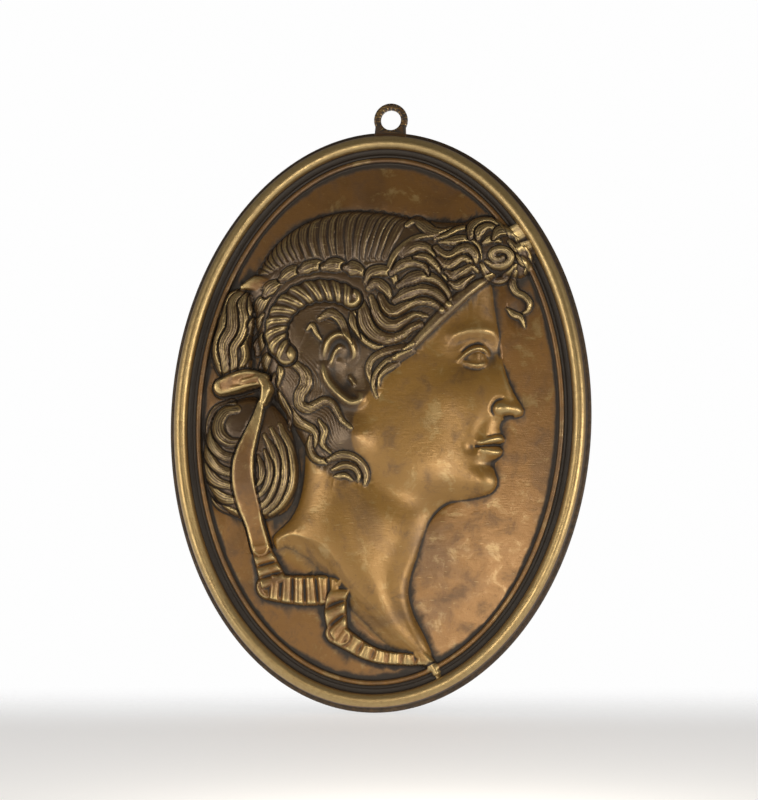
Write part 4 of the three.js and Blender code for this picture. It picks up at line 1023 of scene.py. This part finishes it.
class PLAQUE_OT_relief(bpy.types.Operator):
    """Carves the head on a sheet of heights and closes it onto the rim, front and back"""

    bl_idname = "plaque.relief"
    bl_label = "Relief panel"

    def execute(self, context):
        sizes = context.scene.plaque_sizes
        sheet = carve_head()
        maps = shade_maps(sheet)
        ring, casting = oval_rings(sizes, sheet, maps)

        X, Z, quads, border = square_grid(sizes.relief_cells)
        x, z = oval(FIELD_INSET + 0.35, X, Z)
        front = np.stack([x, -sheet.at(sheet.h, x, z), z], axis=1)
        edge = (1 - np.maximum(np.abs(X), np.abs(Z))) * (HALF_W - FIELD_INSET) / PAINTED_EDGE_SHADOW_WIDTH
        tones = np.stack([sheet.at(grid, x, z) for grid in maps], axis=1)
        # Painted shadow along the field's edge, next to the rim's mouldings.
        tones[:, 1] = np.maximum(tones[:, 1], PAINTED_EDGE_SHADOW * (1 - smooth(edge)))
        start = casting.close(ring[:, -1], front, tones, quads, border)
        group = np.setdiff1d(np.arange(start, len(casting.points)), border + start)

        X, Z, quads, border = square_grid(BACK_CELLS)
        x, z = oval(BACK_INSET, X, Z)
        depth = np.maximum(0, sheet.at(sheet.smooth_body, x, z) - WALL)
        middle = 1 - (x / (HALF_W - BACK_INSET)) ** 2 - (z / (HALF_H - BACK_INSET)) ** 2
        back = np.stack([x, -np.minimum(depth, HOLLOW_DEPTH * clamp01(HOLLOW_SLOPE * middle)), z], axis=1)
        tones = np.tile(BACK_SHADES, (len(back), 1))
        casting.close(ring[:, 0], back, tones, quads, border, turned=True)

        casting.points[:, 2] += CENTRE_Z
        panel = new_mesh_object(ArtKind.panel, casting.points, casting.faces)
        set_shades(panel.data, casting.shades)
        fine = panel.vertex_groups.new(name="fine")
        fine.add(group.tolist(), 1.0, "REPLACE")
        bpy.data.objects.remove(bpy.data.objects[ArtKind.rim])
        total = sum(len(p.vertices) - 2 for p in panel.data.polygons)
        thin_out = panel.modifiers.new("Thin out", "DECIMATE")
        thin_out.vertex_group = "fine"
        thin_out.ratio = sizes.triangles / total
        apply_modifiers(panel)
        print("triangles", total, "thinned", sum(len(p.vertices) - 2 for p in panel.data.polygons))
        return {"FINISHED"}


class PLAQUE_OT_eye(bpy.types.Operator):
    """Makes the hanging eye on top of the rim and joins it to the casting"""

    bl_idname = "plaque.eye"
    bl_label = "Hanging eye"

    def execute(self, context):
        sizes = context.scene.plaque_sizes
        curve = bpy.data.curves.new(ArtKind.eye, "CURVE")
        curve.dimensions = "2D"
        curve.fill_mode = "BOTH"
        foot_wide, foot_deep = EYE_FOOT_WIDTH * MM, EYE_FOOT_DEPTH * MM + sizes.eye_radius
        around = [math.radians(a) for a in np.linspace(-25, 205, 60)]
        outline = [(sizes.eye_radius * math.cos(a), sizes.eye_radius * math.sin(a)) for a in around]
        outline += [(-foot_wide, -sizes.eye_radius * 0.8), (-foot_wide * 1.1, -foot_deep),
                    (foot_wide * 1.1, -foot_deep), (foot_wide, -sizes.eye_radius * 0.8)]
        hole = [(sizes.eye_hole * math.cos(a), sizes.eye_hole * math.sin(a))
                for a in np.linspace(0, 2 * math.pi, 65)[:-1]]
        for loop in (outline, hole):
            line = curve.splines.new("POLY")
            line.points.add(len(loop) - 1)
            for point, (x, z) in zip(line.points, loop):
                point.co = (x, z, 0, 1)
            line.use_cyclic_u = True
        bevel = EYE_BEVEL * MM
        curve.extrude = sizes.eye_thickness / 2 - bevel
        curve.bevel_depth = bevel
        curve.bevel_resolution = 4
        curve.offset = -bevel
        eye = bpy.data.objects.new(ArtKind.eye, curve)
        context.collection.objects.link(eye)
        mesh = evaluated(eye)
        bpy.data.objects.remove(eye)
        upright = Matrix.Rotation(math.pi / 2, 4, "X")
        mesh.transform(Matrix.Translation((0, -sizes.eye_thickness / 2, 0)) @ upright)
        welded = bmesh.new()
        welded.from_mesh(mesh)
        bmesh.ops.remove_doubles(welded, verts=welded.verts, dist=0.001 * MM)
        welded.to_mesh(mesh)
        welded.free()
        blank = bpy.data.objects.new(ArtKind.eye, mesh)
        context.collection.objects.link(blank)
        set_shades(mesh, np.tile(EYE_SHADES, (len(mesh.vertices), 1)))
        panel = bpy.data.objects[ArtKind.panel]
        union = panel.modifiers.new("Join the eye", "BOOLEAN")
        union.operation = "UNION"
        union.solver = "EXACT"
        union.object = blank
        apply_modifiers(panel)
        bpy.data.objects.remove(blank)
        low, high = coordinates(panel.data).min(0), coordinates(panel.data).max(0)
        print("casting", low, high, len(panel.data.vertices), "vertices")
        if abs(high[2] - sizes.eye_radius / MM) > 0.5:
            raise RuntimeError("the eye was not joined to the casting")
        return {"FINISHED"}


class PLAQUE_OT_finish(bpy.types.Operator):
    """Gives the casting its aged brass and its place in the frame"""

    bl_idname = "plaque.finish"
    bl_label = "Aged brass"

    def execute(self, context):
        panel = bpy.data.objects[ArtKind.panel]
        piece = bpy.data.objects.new(ArtKind.final, panel.data)
        panel.data.name = ArtKind.final
        context.collection.objects.link(piece)
        bpy.data.objects.remove(panel)
        piece.data.materials.clear()
        piece.data.materials.append(brass_material(context.scene.plaque_patina))
        piece.data.shade_smooth()
        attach(piece, BODY)
        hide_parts(NODE)
        return {"FINISHED"}


# ---------------------------------------------------------------- aged brass

def brass_material(colours):
    """Brass darkened by age: bright where rubbed, golden on skin, redder on the field, black in hollows from dirt
    and painted shade, and darker towards the top from painted shade.
    """
    material = bpy.data.materials.new("aged_brass")
    material.use_nodes = True
    tree = material.node_tree
    tree.nodes.clear()
    n = Nodes(tree)
    where = n.new("ShaderNodeTexCoord").outputs["Object"]
    wear, grime, carved, skin = (n.attribute(name) for name in ArtKind.shades)

    def tint(name):
        return tuple(getattr(colours, name))

    broad = n.noise(where, 26, 5, 0.62, 0.5)
    patchy = n.noise(where, 120, 7, 0.66, 0.4)
    fine = n.noise(where, 520, 4, 0.6)
    specks = n.noise(where, 1300, 3, 0.6)
    slanted = n.new("ShaderNodeMapping", Vector=where, Scale=(1, 1, 7), Rotation=(0, 0.6, 0)).outputs[0]
    scratches = n.noise(slanted, 300, 3, 0.5)

    height = n.new("ShaderNodeSeparateXYZ", Vector=where).outputs["Z"]
    base = n.blend(n.steps(skin, 0.2, 0.8), tint("field"), tint("skin"))
    # Painted shade: the casting is darkened with umber towards its top, as the light comes from below.
    base = n.blend(n.steps(height, -0.12, -0.05, 0.0, 0.45), base, tint("umber"))
    base = n.blend(n.steps(broad, 0.45, 0.68, 0, 0.55), base, tint("umber"))
    base = n.blend(n.steps(patchy, 0.5, 0.72, 0, 0.6), base, tint("umber"))
    base = n.blend(n.steps(patchy, 0.46, 0.3, 0, 0.4), base, tint("rubbed"))
    base = n.blend(n.steps(carved, 0.2, 0.9, 0, 0.8), base, tint("hair"))
    jitter = n.math("MULTIPLY", n.math("SUBTRACT", fine, 0.5), 0.35)
    rubbed = n.steps(n.math("ADD", wear, jitter), 0.18, 0.66)
    base = n.blend(n.math("MULTIPLY", rubbed, 0.92), base, tint("rubbed"))
    base = n.blend(n.steps(scratches, 0.66, 0.74, 0, 0.4), base, tint("rubbed"))
    # Dark in the hollows: dirt and painted shade together, with real dark specks.
    dirt_and_shade = n.steps(n.math("ADD", grime, jitter), 0.1, 0.62)
    dirt_and_shade = n.math("MAXIMUM", dirt_and_shade, n.steps(specks, 0.66, 0.76, 0, 0.6))
    base = n.blend(dirt_and_shade, base, tint("dirt_and_shade"))

    rough = n.steps(patchy, 0.3, 0.75, 0.30, 0.42)
    rough = n.math("ADD", rough, n.math("MULTIPLY", dirt_and_shade, 0.25), clamp=True)
    metal = n.math("ADD", 0.45, n.math("MULTIPLY", rubbed, 0.5))
    metal = n.math("SUBTRACT", metal, n.math("MULTIPLY", dirt_and_shade, 0.4), clamp=True)
    wax = n.math("SUBTRACT", 0.5, n.math("MULTIPLY", dirt_and_shade, 0.4), clamp=True)

    bumps = n.math("ADD", n.math("MULTIPLY", patchy, 0.6), n.math("MULTIPLY", fine, 0.35))
    bumps = n.math("ADD", bumps, n.math("MULTIPLY", scratches, 0.3))
    bump = n.new("ShaderNodeBump", Strength=0.3, Distance=0.0005, Height=bumps)
    shader = n.new("ShaderNodeBsdfPrincipled", Base_Color=base, Roughness=rough, Metallic=metal,
                   Normal=bump.outputs[0], Coat_Weight=wax, Coat_Roughness=rough, Coat_IOR=1.6,
                   Coat_Normal=bump.outputs[0])
    out = n.new("ShaderNodeOutputMaterial")
    tree.links.new(shader.outputs[0], out.inputs["Surface"])
    return material


# ---------------------------------------------------------------- stage

CAMERA_AZIMUTH, CAMERA_RISE, CAMERA_ROLL = 6.08, -5.68, 2.154
CAMERA_DISTANCE, CAMERA_LENS = 1.250, 136.45
SENSOR, SHIFT_X, SHIFT_Y = 36, -0.0014, 0.0256
FLOOR_NEAR, FLOOR_FAR = 1.2, 0.14
LAMP_COLOUR = (1.0, 0.92, 0.78)
# Each lamp's place from the oval's centre, its size and the setting that holds its power.
LAMPS = {
    "left": ((-0.60, -0.70, -0.02), 0.35, "key_power"),
    "right": ((0.75, -0.5, -0.02), 0.35, "fill_power"),
    "sheen": ((0.061, -0.40, -0.077), 0.10, "sheen_power"),
}


def camera_frame():
    """Right, up and forward of the camera, after its roll."""
    az, el, roll = (math.radians(a) for a in (CAMERA_AZIMUTH, CAMERA_RISE, CAMERA_ROLL))
    back = Vector((math.sin(az) * math.cos(el), -math.cos(az) * math.cos(el), math.sin(el)))
    right = Vector((math.cos(az), math.sin(az), 0))
    up = back.cross(right)
    return (right * math.cos(roll) + up * math.sin(roll), up * math.cos(roll) - right * math.sin(roll), back)


class PLAQUE_OT_stage(bpy.types.Operator):
    """Sets the floor, the pale surround, the lamps and the camera"""

    bl_idname = "plaque.stage"
    bl_label = "Stage"

    def execute(self, context):
        scene = context.scene
        studio = scene.plaque_studio
        centre = Vector((0, 0, CENTRE_Z * MM))
        right, up, back = camera_frame()

        camera = bpy.data.objects.new("camera", bpy.data.cameras.new("camera"))
        context.collection.objects.link(camera)
        camera.data.lens = CAMERA_LENS
        camera.data.sensor_width = SENSOR
        camera.data.shift_x, camera.data.shift_y = SHIFT_X, SHIFT_Y
        camera.data.clip_start, camera.data.clip_end = 0.01, 50
        pose = Matrix((right, up, back)).transposed().to_4x4()
        pose.translation = centre + back * CAMERA_DISTANCE
        camera.matrix_world = pose
        scene.camera = camera

        self.floor(context, centre, right, up, back, studio)
        self.surround(scene, studio)
        for name, (offset, size, power) in LAMPS.items():
            lamp = bpy.data.objects.new(name, bpy.data.lights.new(name, "AREA"))
            lamp.data.energy = getattr(studio, power)
            lamp.visible_camera = False
            lamp.data.size = size
            lamp.data.color = LAMP_COLOUR
            context.collection.objects.link(lamp)
            lamp.location = centre + Vector(offset)
            lamp.rotation_euler = (-Vector(offset)).to_track_quat("-Z", "Y").to_euler()
        scene.view_settings.view_transform = "Standard"
        return {"FINISHED"}

    def floor(self, context, centre, right, up, back, studio):
        """A pale plane under the lowest point of the rim, square to the camera's up, fading into the backdrop."""
        low = centre - Vector((0, 0, SIZES["half_height"]))
        near, far = back * FLOOR_NEAR, back * -FLOOR_FAR
        mesh = bpy.data.meshes.new("floor")
        side = right * FLOOR_NEAR
        corners = [low - side + far, low + side + far, low + side + near, low - side + near]
        mesh.from_pydata([tuple(c) for c in corners], [], [(0, 1, 2, 3)])
        fade = mesh.attributes.new("fade", "FLOAT", "POINT")
        fade.data.foreach_set("value", [0.0, 0.0, 1.0, 1.0])
        floor = bpy.data.objects.new("floor", mesh)
        context.collection.objects.link(floor)
        material = bpy.data.materials.new("floor_paper")
        material.use_nodes = True
        n = Nodes(material.node_tree)
        shader = material.node_tree.nodes["Principled BSDF"]
        shader.inputs["Base Color"].default_value = tuple(studio.floor_tone)
        shader.inputs["Emission Color"].default_value = tuple(studio.floor_tone)
        shader.inputs["Emission Strength"].default_value = studio.floor_glow
        shader.inputs["Roughness"].default_value = 0.6
        behind = FLOOR_FAR / (FLOOR_FAR + FLOOR_NEAR)
        n.give(shader.inputs["Alpha"], n.steps(n.attribute("fade"), behind * 0.1, behind * 1.6))
        mesh.materials.append(material)

    def surround(self, scene, studio):
        """White to the camera, and a softer graded light to everything else."""
        world = bpy.data.worlds.new("surround")
        scene.world = world
        world.use_nodes = True
        tree = world.node_tree
        tree.nodes.clear()
        n = Nodes(tree)
        towards = n.new("ShaderNodeSeparateXYZ", Vector=n.new("ShaderNodeTexCoord").outputs["Generated"])
        shade = n.math("MULTIPLY", n.steps(towards.outputs["Y"], -0.99, -0.55, 0.05, 1.0),
                       n.steps(towards.outputs["Z"], -0.2, 0.4, 1.0, 0.15))
        tone = n.blend(shade, (0.03, 0.028, 0.025, 1), (1.0, 0.98, 0.95, 1))
        soft = n.new("ShaderNodeBackground", Color=tone, Strength=studio.sky)
        white = n.new("ShaderNodeBackground", Color=(0.99, 0.99, 0.99, 1), Strength=1.0)
        seen = n.new("ShaderNodeLightPath").outputs["Is Camera Ray"]
        both = n.new("ShaderNodeMixShader")
        n.give(both.inputs[0], seen)
        n.give(both.inputs[1], soft.outputs[0])
        n.give(both.inputs[2], white.outputs[0])
        out = n.new("ShaderNodeOutputWorld")
        tree.links.new(both.outputs[0], out.inputs["Surface"])


# ---------------------------------------------------------------- panel and registration

OPERATORS = (PLAQUE_OT_rim, PLAQUE_OT_relief, PLAQUE_OT_eye, PLAQUE_OT_finish, PLAQUE_OT_stage)
SETTINGS = (("plaque_sizes", PlaqueSizes), ("plaque_patina", PatinaColours), ("plaque_studio", StudioSettings))


class PLAQUE_PT_panel(bpy.types.Panel):
    """The plaque's settings and the stages of its making"""

    bl_idname = "PLAQUE_PT_panel"
    bl_label = "Relief plaque"
    bl_space_type = "VIEW_3D"
    bl_region_type = "UI"
    bl_category = "Plaque"

    def draw(self, context):
        for name, group in SETTINGS:
            box = self.layout.box()
            for prop in group.__annotations__:
                box.prop(getattr(context.scene, name), prop)
        for operator in OPERATORS:
            self.layout.operator(operator.bl_idname)


def register():
    for name, group in SETTINGS:
        bpy.utils.register_class(group)
        setattr(bpy.types.Scene, name, bpy.props.PointerProperty(type=group))
    for item in (*OPERATORS, PLAQUE_PT_panel):
        bpy.utils.register_class(item)


def unregister():
    for item in reversed((*OPERATORS, PLAQUE_PT_panel)):
        bpy.utils.unregister_class(item)
    for name, group in reversed(SETTINGS):
        delattr(bpy.types.Scene, name)
        bpy.utils.unregister_class(group)


def main():
    register()
    for operator in OPERATORS:
        family, name = operator.bl_idname.split(".")
        getattr(getattr(bpy.ops, family), name)()


if __name__ == "__main__":
    main()
